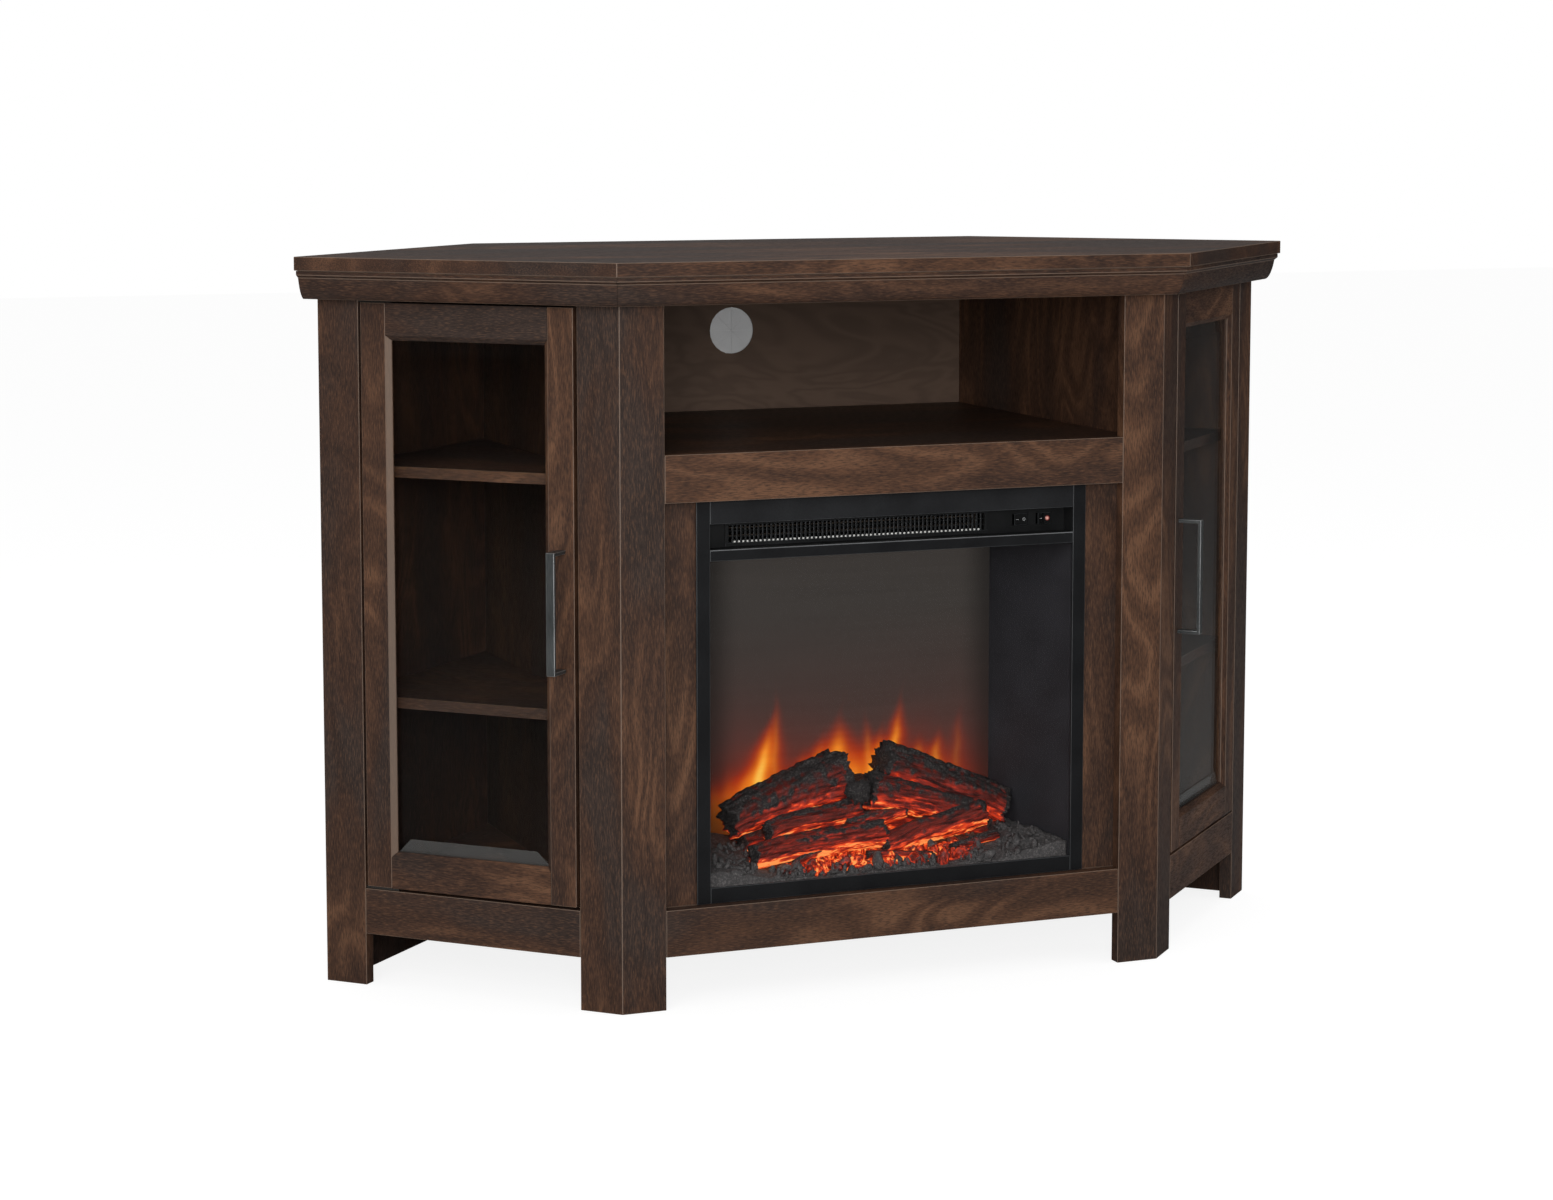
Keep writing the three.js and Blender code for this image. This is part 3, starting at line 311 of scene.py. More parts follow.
# coated and moulded surfaces: one colour broken by a fine grit in tone, roughness and relief
coating = {
    "cloud": 45,  # mm across the slow change of tone
    "blend": (0.12, 0.4),  # values of grit times cloud between which one tone turns to the other
    "depth": 0.1 * mm,
}


def grittySurface(name, look):
    add = startMaterial(name)
    place = add("TexCoord").outputs["Object"]
    stretched = add("Mapping", textureSpace, {"Vector": place, "Scale": look.get("stretch", (1, 1, 1))})
    grit = add("TexNoise", inputs={
        "Vector": stretched, "Scale": 1000 / look["grit"], "Detail": 3.0, "Roughness": 0.6})
    cloud = add("TexNoise", inputs={"Vector": place, "Scale": 1000 / coating["cloud"], "Detail": 2.0})
    blend = add("Math", multiply, [grit, cloud])
    tone = add("MapRange", None, [blend, *coating["blend"]])
    colour = add("Mix", colourMix, [tone, *look["tones"]])
    rough = add("MapRange", None, [tone, 0.0, 1.0, *look["roughness"]])
    relief = add("Bump", inputs={
        "Strength": look.get("relief", 0.2), "Distance": coating["depth"], "Height": grit})
    surface = add("BsdfPrincipled", inputs={
        "Base Color": colour, "Metallic": look.get("metallic", 0.0), "Roughness": rough,
        "Specular IOR Level": look.get("specular", 0.5), "Alpha": look.get("cover", 1.0), "Normal": relief})
    add("OutputMaterial", inputs=[surface])


coat = {"grit": 1.2, "roughness": (0.4, 0.52), "specular": 0.25, "relief": 0.08}
finishes = {
    # powder-coated sheet steel: satin black with a slight orange peel
    "powderCoatedSteel": {**coat, "tones": ("#121214", "#1a1b1d")},
    # the same coat on the top band, a little greyer
    "powderCoatedBand": {**coat, "tones": ("#1c1c1e", "#262729")},
    # charcoal coat inside the firebox, lighter and flatter than the bezel's
    "charcoalLiner": {**coat, "tones": ("#28272a", "#323135"), "roughness": (0.5, 0.62), "specular": 0.3},
    # painted highlight on the bends, so that edges read as fine lighter lines
    "wornCoatEdge": {"tones": ("#2f3133", "#434547"), "grit": 1.2, "roughness": (0.3, 0.42)},
    # bare rolled edge of the sheet along the control channel, drawn light grey as a painted highlight line
    "bareSteelEdge": {"tones": ("#77797b", "#96989a"), "grit": 0.9, "roughness": (0.3, 0.4), "metallic": 0.5},
    # ABS with a fine spark-eroded texture
    "mouldedAbs": {"tones": ("#0d0e0f", "#191a1b"), "grit": 0.9, "roughness": (0.4, 0.55), "specular": 0.4},
    # polished ABS of the switch rockers
    "glossAbs": {"tones": ("#0b0c0d", "#141516"), "grit": 2.0, "roughness": (0.16, 0.26), "relief": 0.05},
    # gunmetal lacquer over brushed zinc: fine upright brush lines under a dark clear coat
    "gunmetalLacquer": {
        "tones": ("#4a4d4e", "#666969"), "grit": 0.7, "stretch": (1, 1, 14), "roughness": (0.34, 0.46),
        "metallic": 0.65, "relief": 0.15},
    # painted highlight: the bends of the pull drawn bright, so that they glint
    "gunmetalEdge": {"tones": ("#8d9091", "#b4b6b6"), "grit": 0.7, "roughness": (0.25, 0.35), "metallic": 0.8},
    # black-passivated zinc of the pivot plates
    "darkZinc": {"tones": ("#3a3734", "#5e5a56"), "grit": 1.4, "roughness": (0.35, 0.5), "metallic": 0.8},
    # satin aluminium drawn near white: painted glints between the dark slats
    "satinAluminium": {"tones": ("#dededa", "#f0f0ec"), "grit": 0.8, "roughness": (0.4, 0.5), "metallic": 0.1},
    # bright zinc plate of the spindle
    "zincPlate": {
        "tones": ("#9c9d9d", "#c9cacb"), "grit": 1.4, "roughness": (0.24, 0.4), "metallic": 1.0, "relief": 0.1},
    # white pad printing on the rockers
    "padPrint": {"tones": ("#b7b8b8", "#d5d6d6"), "grit": 0.6, "roughness": (0.5, 0.6)},
    # milky silicone, thin enough to let some light through from behind
    "milkySilicone": {
        "tones": ("#bcbcbc", "#c8c8c8"), "grit": 0.8, "roughness": (0.7, 0.8), "specular": 0.3, "cover": 0.67},
    # glass-filled board under the lamps
    "lampBoard": {"tones": ("#2a3a2c", "#3d5340"), "grit": 1.0, "roughness": (0.5, 0.6)},
    # oxidised heating ribbon
    "heatedRibbon": {"tones": ("#4f463e", "#8b7d70"), "grit": 2.2, "roughness": (0.35, 0.55), "metallic": 0.9},
}
for name, look in finishes.items():
    grittySurface(name, look)
print("laminates and finishes made")


# float glass: nearly colourless, with a faint uneven tint and a low-reflection face
def floatGlass(name, look):
    add = startMaterial(name)
    place = add("TexCoord").outputs["Object"]
    wash = add("TexNoise", inputs={"Vector": place, "Scale": 1000 / look["film"], "Detail": 2.0})
    tint = add("Mix", colourMix, [wash, look["tint"], look["clear"]])
    # the lamps' light goes straight through to the boards behind
    rays = add("LightPath").outputs
    passing = add("Math", maximum, [rays["Is Shadow Ray"], rays["Is Diffuse Ray"]])
    cover = add("Math", {"operation": "SUBTRACT", "use_clamp": True}, [look["cover"], passing])
    glass = add("BsdfPrincipled", inputs={
        "Base Color": tint, "Roughness": look["roughness"], "IOR": look["ior"],
        "Transmission Weight": look["clearness"], "Alpha": cover})
    add("OutputMaterial", inputs=[glass])


floatGlass("clearFloatGlass", {
    "tint": "#eef2f0", "clear": "#f9fafa", "film": 180, "roughness": 0.0, "ior": 1.18,
    "clearness": 1.0, "cover": 1.0})
# paler, hazier glass for the lower bevels: a painted reflection of the floor
floatGlass("groundGlassBevel", {
    "tint": "#c3c4c2", "clear": "#d2d3d1", "film": 40, "roughness": 0.12, "ior": 1.3,
    "clearness": 0.9, "cover": 1.0})
# heat-proof glass with a low-reflection coat: nearly all of it is open, so fire and lamps pass clean
floatGlass("heatProofGlass", {
    "tint": "#18191b", "clear": "#222325", "film": 220, "roughness": 0.03, "ior": 1.45,
    "clearness": 0.0, "cover": 0.04})


# makes a mesh piece from bmesh work and lets it ride on a body
def makePiece(name, bm, materials, body, replaced=(), smooth=False):
    mesh = bpy.data.meshes.new(name)
    bmesh.ops.recalc_face_normals(bm, faces=bm.faces)
    bm.to_mesh(mesh)
    bm.free()
    for material in materials:
        mesh.materials.append(bpy.data.materials[material])
    mesh.shade_smooth() if smooth else mesh.shade_flat()
    piece = bpy.data.objects.new(name, mesh)
    bpy.context.scene.collection.objects.link(piece)
    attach(piece, body)
    if replaced:
        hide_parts(*replaced)


# a block with eased edges, added to a mesh in the making
def addBlock(bm, low, high, ease, place=None, surface=0, edge=0):
    size = [b - a for a, b in zip(low, high)]
    made = bmesh.ops.create_cube(bm, size=1)
    matrix = Matrix.Translation([(a + b) / 2 for a, b in zip(low, high)]) @ Matrix.Diagonal((*size, 1))
    bmesh.ops.transform(bm, matrix=matrix, verts=made["verts"])
    for f in {f for v in made["verts"] for f in v.link_faces}:
        f.material_index = surface
    edges = {e for v in made["verts"] for e in v.link_edges}
    eased = bmesh.ops.bevel(
        bm, geom=list(edges), offset=ease, segments=2, profile=0.5, affect="EDGES", material=edge)
    if place is not None:
        verts = {v for f in eased["faces"] for v in f.verts}
        bmesh.ops.transform(bm, matrix=place, verts=list(verts))


# a copy of a solid with its sharp edges eased; the eased strip takes the second material, and faces that
# point along the facing vector take the last one
def easedCopy(nodeName, body, materials, ease, minLength=12 * mm, facing=None):
    bm = bmesh.new()
    bm.from_mesh(cadNodes[nodeName].data)
    bmesh.ops.remove_doubles(bm, verts=bm.verts, dist=0.01 * mm)
    bmesh.ops.dissolve_limit(bm, angle_limit=math.radians(1), verts=bm.verts, edges=bm.edges)
    for f in bm.faces:
        looksAlong = facing and f.normal.dot(Vector(facing).normalized()) > 0.9
        f.material_index = len(materials) - 1 if looksAlong else 0
    sharp = [e for e in bm.edges if len(e.link_faces) == 2
             and e.calc_face_angle(0) > math.radians(25) and e.calc_length() > minLength]
    bmesh.ops.bevel(
        bm, geom=sharp, offset=ease, segments=2, profile=0.5, affect="EDGES", clamp_overlap=True, material=1)
    makePiece(nodeName + "_eased", bm, materials, body, [nodeName])


# quads between two closed loops of points
def joinLoops(bm, first, second):
    for k in range(len(first)):
        n = (k + 1) % len(first)
        bm.faces.new([first[k], first[n], second[n], second[k]])


# quads over a grid of points; gives the points round its rim
def fillGrid(bm, grid):
    for line, nextLine in zip(grid, grid[1:]):
        for i in range(len(line) - 1):
            bm.faces.new([line[i], line[i + 1], nextLine[i + 1], nextLine[i]])
    sides = [line[-1] for line in grid[1:]], [line[0] for line in grid[-2:0:-1]]
    return grid[0] + sides[0] + grid[-1][-2::-1] + sides[1]


# cabinet boards: which way the print runs on each
boardEase = 0.6 * mm
boards = {
    "top_slab": "across", "front_crown": "across", "middle_rail": "across", "bottom_rail": "across",
    "base_board": "across", "media_shelf": "across", "left_crown": "leftWing", "right_crown": "rightWing",
    "left_wing_rail": "leftWing", "right_wing_rail": "rightWing",
}
inside = {}  # which way a board's face looks when it looks into a side cabinet, where it takes painted shade
for sideName, side in sideNames.items():
    for upright in ("front_post", "rear_post", "surround_panel", "wall_panel", "divider"):
        boards[sideName + "_" + upright] = "upright"
    for shelf in ("lower_shelf", "upper_shelf"):
        boards[sideName + "_" + shelf] = sideName + "Wing"
        inside[sideName + "_" + shelf] = (0, 0, 1)
    inside[sideName + "_divider"] = (side, 0, 0)
    inside[sideName + "_wall_panel"] = (-side, -1, 0)
for nodeName, way in boards.items():
    materials = ["walnutLaminate_" + way, "easedLaminateEdge_" + way]
    if nodeName in inside:
        materials.append("darkLaminateInside_" + way)
    easedCopy(nodeName, "cabinet", materials, boardEase, facing=inside.get(nodeName))

# doors
for sideName in sideNames:
    body = sideName + "_door"
    stileMaterials = ["walnutLaminate_upright", "easedLaminateEdge_upright"]
    easedCopy(sideName + "_latch_stile", body, stileMaterials, boardEase)
    # the left hinge stile's bead faces straight forward and takes the lighter edge finish, a painted highlight
    bead = (0, -1, 0) if sideName == "left" else None
    easedCopy(sideName + "_hinge_stile", body, stileMaterials, boardEase, facing=bead)
    railMaterials = ["walnutLaminate_" + sideName + "Wing", "easedLaminateEdge_" + sideName + "Wing"]
    for rail in ("_door_top_rail", "_door_bottom_rail"):
        easedCopy(sideName + rail, body, railMaterials, boardEase)
    # the pull's eased bends take a painted highlight
    pullMaterials = ["gunmetalLacquer", "gunmetalEdge"]
    easedCopy(sideName + "_door_handle", body, pullMaterials, 0.7 * mm, minLength=4 * mm)
print("cabinet boards and doors eased")

# solids whose shape is right keep their mesh and take a finish
plainNodes = {
    "back_panel": "printedHardboard",
    "firebox_housing": "charcoalLiner",
    "control_panel": "mouldedAbs",
    "window_glass": "heatProofGlass",
    "lamp_board": "lampBoard",
    "flicker_spindle": "zincPlate",
    "spindle_motor": "powderCoatedSteel",
    "heater_element": "heatedRibbon",
    "blower_rotor": "mouldedAbs",
    "blower_motor": "powderCoatedSteel",
}
for sideName in sideNames:
    plainNodes[sideName + "_magnetic_catch"] = "mouldedAbs"
    for plate in ("_upper_pivot", "_lower_pivot"):
        plainNodes[sideName + plate] = "darkZinc"
for nodeName, material in plainNodes.items():
    mesh = cadNodes[nodeName].data
    mesh.materials.clear()
    mesh.materials.append(bpy.data.materials[material])

# door panes: the lower bevel takes a paler, hazier glass, a painted reflection of the floor's bright paper
# below
pane = {"lowerBevel": (-0.3, -0.03)}  # how far the lower bevel's faces point down
for sideName in sideNames:
    body = sideName + "_door"
    bm = bmesh.new()
    bm.from_mesh(cadNodes[body + "_glass"].data)
    bmesh.ops.remove_doubles(bm, verts=bm.verts, dist=0.01 * mm)
    for f in bm.faces:
        f.material_index = 1 if pane["lowerBevel"][0] < f.normal.z < pane["lowerBevel"][1] else 0
    paneMaterials = ["clearFloatGlass", "groundGlassBevel"]
    makePiece(sideName + "_bevelled_pane", bm, paneMaterials, body, [body + "_glass"])

# bezel: five folded strips with hairline joints, side strips full height
bezel = {
    "side": 15.5 * mm,
    "topBand": 25.5 * mm,
    "channel": 28 * mm,  # opening for the switches and the grille
    "mask": 12 * mm,
    "foot": 17 * mm,
    "joint": 0.25 * mm,
    "ease": 0.6 * mm,
}
low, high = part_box("insert_bezel")
innerLeft = low.x + bezel["side"] + bezel["joint"]
innerRight = high.x - bezel["side"] - bezel["joint"]
channelTop = high.z - bezel["topBand"]
channelFoot = channelTop - bezel["channel"]
strips = [
    ((low.x, low.y, low.z), (low.x + bezel["side"], high.y, high.z), 0),
    ((high.x - bezel["side"], low.y, low.z), (high.x, high.y, high.z), 0),
    ((innerLeft, low.y, channelTop), (innerRight, high.y, high.z), 2),
    ((innerLeft, low.y, channelFoot - bezel["mask"]), (innerRight, high.y, channelFoot), 0),
    ((innerLeft, low.y, low.z), (innerRight, high.y, low.z + bezel["foot"]), 0),
]
bm = bmesh.new()
for lowCorner, highCorner, surface in strips:
    addBlock(bm, lowCorner, highCorner, bezel["ease"], surface=surface, edge=1)
# the strips' eased edges take a painted highlight
bezelMaterials = ["powderCoatedSteel", "wornCoatEdge", "powderCoatedBand"]
makePiece("bezel_strips", bm, bezelMaterials, "cabinet", ["insert_bezel"])

# the bare edge of the sheet that shows along the channel's foot, drawn light as a painted highlight line
ledge = {"proud": 0.15 * mm, "depth": 1 * mm, "drop": 0.9 * mm, "ease": 0.2 * mm}
bm = bmesh.new()
addBlock(
    bm, (innerLeft, low.y - ledge["proud"], channelFoot - ledge["drop"]),
    (innerRight, low.y + ledge["depth"], channelFoot + ledge["proud"]), ledge["ease"])
makePiece("channel_ledge", bm, ["bareSteelEdge"], "cabinet")

# outlet grille: a frame, upright slats with eased noses that take a painted highlight, two cross bars behind,
# studs between painted bright as glints
grille = {
    "border": 3.5 * mm,
    "pitch": 5 * mm,
    "slat": 2 * mm,
    "slatDepth": 1.6 * mm,
    "bar": 1.1 * mm,
    "bars": (1 / 3, 2 / 3),  # heights, as shares of the opening
    "stud": 2.2 * mm,
    "studHeight": 2.0 * mm,
    "studDepths": (0.5 * mm, 2.5 * mm),
    "ease": 0.3 * mm,
}
low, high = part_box("outlet_grille")
inLow = Vector((low.x + grille["border"], low.y, low.z + grille["border"]))
inHigh = Vector((high.x - grille["border"], high.y, high.z - grille["border"]))
bm = bmesh.new()
addBlock(bm, (low.x, low.y, low.z), (high.x, high.y, inLow.z), grille["ease"], edge=1)
addBlock(bm, (low.x, low.y, inHigh.z), (high.x, high.y, high.z), grille["ease"], edge=1)
addBlock(bm, (low.x, low.y, inLow.z), (inLow.x, high.y, inHigh.z), grille["ease"])
addBlock(bm, (inHigh.x, low.y, inLow.z), (high.x, high.y, inHigh.z), grille["ease"])
slatCount = int((inHigh.x - inLow.x) / grille["pitch"])
firstSlat = (inLow.x + inHigh.x - (slatCount - 1) * grille["pitch"]) / 2
for i in range(slatCount):
    x, half = firstSlat + i * grille["pitch"], grille["slat"] / 2
    slatBack = low.y + grille["slatDepth"]
    addBlock(bm, (x - half, low.y, inLow.z), (x + half, slatBack, inHigh.z), grille["ease"], edge=1)
for share in grille["bars"]:
    z, half = inLow.z + (inHigh.z - inLow.z) * share, grille["bar"] / 2
    addBlock(bm, (inLow.x, slatBack, z - half), (inHigh.x, high.y, z + half), grille["ease"])
# the eased edges of the frame and slat noses take a painted highlight
grilleMaterials = ["mouldedAbs", "wornCoatEdge"]
makePiece("outlet_grille_slats", bm, grilleMaterials, "cabinet", ["outlet_grille"])
bm = bmesh.new()
studFront, studBack = [low.y + depth for depth in grille["studDepths"]]
for i in range(slatCount - 1):  # one stud, painted bright as a glint, stands in each gap
    x, half = firstSlat + (i + 0.5) * grille["pitch"], grille["stud"] / 2
    studTop = inLow.z + grille["studHeight"]
    addBlock(bm, (x - half, studFront, inLow.z), (x + half, studBack, studTop), grille["ease"])
makePiece("outlet_sill", bm, ["satinAluminium"], "cabinet")

# rockers: polished caps with printed off and on marks, and a lit lens on the heater's
rocker = {
    "centres": {"power": 162 * mm, "heater": 191 * mm},
    "back": (39.8 + frontFace) * mm,
    "height": 509 * mm,
    "turn": 7,
    "rise": 4.5 * mm,
    "half": 8.6 * mm,
    "ease": 0.5 * mm,
    "print": 0.5 * mm,  # width of a printed line
    "inkDepths": (-0.06 * mm, 0.02 * mm),  # in front of and behind the cap's face
    "markRadius": 1.7 * mm,
    "markPoints": 24,
}
lens = {
    "middle": (195.4 * mm, -212.5 * mm, 509 * mm),
    "radii": (2.9 * mm, 0.8 * mm, 2.9 * mm),
    "spot": (2.6 * mm, 12 * mm, 2.6 * mm),  # reach of the lamp's bright spot
    "rim": "#4c0b09",
    "hot": "#ffc2b4",
    "body": "#4a0a08",
}
add = startMaterial("litRedLens")  # clear red styrene with a neon lamp behind its middle
place = add("TexCoord").outputs["Object"]
lampPlace = add("Mapping", textureSpace, {
    "Vector": place, "Location": lens["middle"], "Scale": lens["spot"]})
spot = add("TexGradient", {"gradient_type": "SPHERICAL"}, [lampPlace]).outputs["Fac"]
glow = add("Mix", colourMix, [spot, lens["rim"], lens["hot"]])
lensSurface = add("BsdfPrincipled", inputs={
    "Base Color": lens["body"], "Roughness": 0.15, "Emission Color": glow, "Emission Strength": 0.9})
add("OutputMaterial", inputs=[lensSurface])

turn = math.radians(rocker["turn"])
crest = rocker["rise"] + rocker["half"] * math.tan(turn) / 2  # of a half face's middle over the pivot
for rockerName, x in rocker["centres"].items():
    body = rockerName + "_rocker"
    # the caps' eased edges take a painted highlight
    easedCopy(body, body, ["glossAbs", "wornCoatEdge"], rocker["ease"], minLength=3 * mm)
    stand = Matrix.Translation((x, rocker["back"], rocker["height"])) @ Matrix.Rotation(turn, 4, "Z")
    for half in (-1, 1):
        # the middle of the cap's half face, with y into the cap
        middle = Matrix.Translation((half * rocker["half"] / 2, -crest, 0))
        face = stand @ middle @ Matrix.Rotation(-half * turn, 4, "Z")
        bm = bmesh.new()
        if rockerName == "heater" and half > 0:
            lensShape = face @ Matrix.Diagonal((*lens["radii"], 1))
            bmesh.ops.create_uvsphere(bm, u_segments=28, v_segments=14, radius=1, matrix=lensShape)
            makePiece("heater_lens", bm, ["litRedLens"], body)
            continue
        radius, line = rocker["markRadius"], rocker["print"]
        inkFront, inkBack = rocker["inkDepths"]
        if half < 0:
            addBlock(bm, (-radius, inkFront, -line / 2), (radius, 0, line / 2), 0.02 * mm, place=face)
        else:
            angles = [2 * math.pi * k / rocker["markPoints"] for k in range(rocker["markPoints"])]
            hole = radius - line
            section = [(hole, inkFront), (radius, inkFront), (radius, inkBack), (hole, inkBack)]
            rings = [
                [bm.verts.new(face @ Vector((r * math.cos(a), depth, r * math.sin(a)))) for a in angles]
                for r, depth in section]
            for k in range(4):
                joinLoops(bm, rings[k], rings[(k + 1) % 4])
        markName = rockerName + ("_off_mark" if half < 0 else "_on_mark")
        makePiece(markName, bm, ["padPrint"], body)
print("bezel, grille and switches made")

# flame screen: smoked sheet on which the turning spindle throws flames; the picture is drawn point by point
# from smoke, haze and flames, with heights in mm over the floor
screen = {
    "cell": 2 * mm,
    "tones": {
        "smokeTop": "#3a3633", "smokeMiddle": "#3f332f", "smokeFoot": "#4e2a20",
        "haze": "#8a2410", "outer": "#c63c0d", "core": "#ff9420", "bright": "#ffc553"},
    "sheet": "#12100f",
    "half": 174,  # mm from the middle to the side liners
    "softEdge": 42,  # mm over which the light dies towards them
    "edgeLight": 0.42,  # light left at the liners
    "smokeFrom": 175,
    "smokeRun": 290,
    "smokeBend": 0.3,  # share of the run at which the foot's tone has gone
    "hazeFrom": 192,
    "hazeRun": 52,
    "footFrom": 158,
    "footRun": 42,  # dark behind the logs
    "footLight": 0.3,
    "rib": 4,  # mm between the faint level ribs
    "ribTones": (0.9, 1.1),
    # red skirt, orange body, yellow heart: half width and top as shares of the flame's, how sharply it ends
    "layers": [(2.0, 0.8, 9), (1.05, 0.68, 10), (0.62, 0.48, 9)],
    # x and lean to the tip, height of foot and tip, half width, brightness
    "flames": [
        (-113, 18, 204, 282, 13, 1.2),
        (-133, 12, 186, 234, 15, 0.5),
        (-92, 0, 230, 308, 7, 0.35),
        (-21, 8, 200, 276, 20, 1.25),
        (-42, 7, 205, 258, 15, 0.75),
        (-62, 3, 200, 244, 12, 0.45),
        (7, -2, 186, 246, 21, 0.7),
        (32, 7, 198, 262, 14, 1.15),
        (24, -6, 215, 276, 9, 0.45),
        (50, 12, 205, 292, 11, 1.05),
        (82, 2, 215, 252, 12, 0.45),
        (106, 5, 212, 256, 10, 0.55),
        (131, 6, 210, 280, 8, 0.22),
        (-151, 3, 166, 232, 18, 0.42),
        (-168, 2, 166, 222, 13, 0.38),
    ],
}
tones = {name: Vector(linearColour(tone)[:3]) for name, tone in screen["tones"].items()}


def clamped(value):
    return min(1.0, max(0.0, value))


def noiseAt(x, y, z):
    return noise.noise(Vector((x, y, z)))


# one at values far under zero and zero far over it
def fading(value):
    return 1 / (1 + math.exp(value))


def screenColour(x, z):
    edge = clamped((screen["half"] - abs(x)) / screen["softEdge"])
    edge = edge * edge * (3 - 2 * edge)
    rise, bend = clamped((z - screen["smokeFrom"]) / screen["smokeRun"]), screen["smokeBend"]
    if rise > bend:
        colour = tones["smokeMiddle"].lerp(tones["smokeTop"], min(1.0, (rise - bend) / 0.5))
    else:
        colour = tones["smokeFoot"].lerp(tones["smokeMiddle"], (rise / bend) ** 0.6)
    waver = 0.8 + 0.45 * noiseAt(x * 0.018, z * 0.012, 3.1)
    thinning = math.exp(-(max(0.0, z - screen["hazeFrom"]) / screen["hazeRun"]) ** 1.25)
    haze = thinning * waver * (0.35 + 0.65 * edge)
    glow = Vector((0, 0, 0))
    for middle, lean, flameFoot, tip, half, bright in screen["flames"]:
        share = (z - flameFoot) / (tip - flameFoot)
        risen = max(0.0, share)
        centre = middle + lean * risen ** 1.4 + 3 * noiseAt(z * 0.045, middle, 0.4)
        across = (x - centre) / (half * max(0.05, 1 - risen * 0.82))
        footing = fading(-(share + 0.35) * 9)
        for k, (spread, top, sharpness) in enumerate(screen["layers"]):
            layer = math.exp(-(across / spread) ** 2) * fading((share - top) * sharpness)
            glow[k] += bright * layer * footing
    skirt, core, heart = glow
    colour = colour.lerp(tones["haze"], min(1.0, 0.8 * haze + 0.75 * min(1.0, skirt)))
    colour = colour.lerp(tones["outer"], min(0.9, 0.62 * skirt ** 1.3))
    colour = colour.lerp(tones["core"], min(0.95, 0.8 * core ** 1.6))
    colour = colour.lerp(tones["bright"], min(0.9, 0.75 * heart ** 2.2))
    foot = clamped((z - screen["footFrom"]) / screen["footRun"]) ** 2
    edgeLight, footLight = screen["edgeLight"], screen["footLight"]
    return colour * (edgeLight + (1 - edgeLight) * edge) * (footLight + (1 - footLight) * foot)


low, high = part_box("flame_screen")
columns, rows = int((high.x - low.x) / screen["cell"]), int((high.z - low.z) / screen["cell"])
bm = bmesh.new()
glowLayer = bm.verts.layers.float_color.new("flamePicture")
front = [
    [bm.verts.new((low.x + (high.x - low.x) * i / columns, low.y, low.z + (high.z - low.z) * j / rows))
     for i in range(columns + 1)] for j in range(rows + 1)]
for v in bm.verts:
    v[glowLayer] = (*screenColour(v.co.x / mm, v.co.z / mm), 1.0)
rim = fillGrid(bm, front)
behind = [bm.verts.new((v.co.x, high.y, v.co.z)) for v in rim]
for v in behind:
    v[glowLayer] = (0.01, 0.008, 0.007, 1.0)
joinLoops(bm, rim, behind)
bm.faces.new(behind)

add = startMaterial("smokedAcrylicScreen")  # frosted smoked acrylic: no gloss, its own soft light
picture = add("Attribute", {"attribute_name": "flamePicture"})
place = add("TexCoord").outputs["Object"]
level = add("Mapping", textureSpace, {"Vector": place, "Scale": (40, 1, 1)})
ribs = add("TexNoise", inputs={"Vector": level, "Scale": 1000 / screen["rib"], "Detail": 1.0})
ribTone = add("MapRange", None, [ribs, 0.0, 1.0, *screen["ribTones"]])
light = add("VectorMath", {"operation": "SCALE"}, [picture, ribTone])
acrylic = add("BsdfPrincipled", inputs={
    "Base Color": screen["sheet"], "Roughness": 0.6, "Specular IOR Level": 0.1,
    "Emission Color": light, "Emission Strength": 1.0})
add("OutputMaterial", inputs=[acrylic])
makePiece("flame_picture", bm, ["smokedAcrylicScreen"], "cabinet", ["flame_screen"])
print("flame screen drawn")

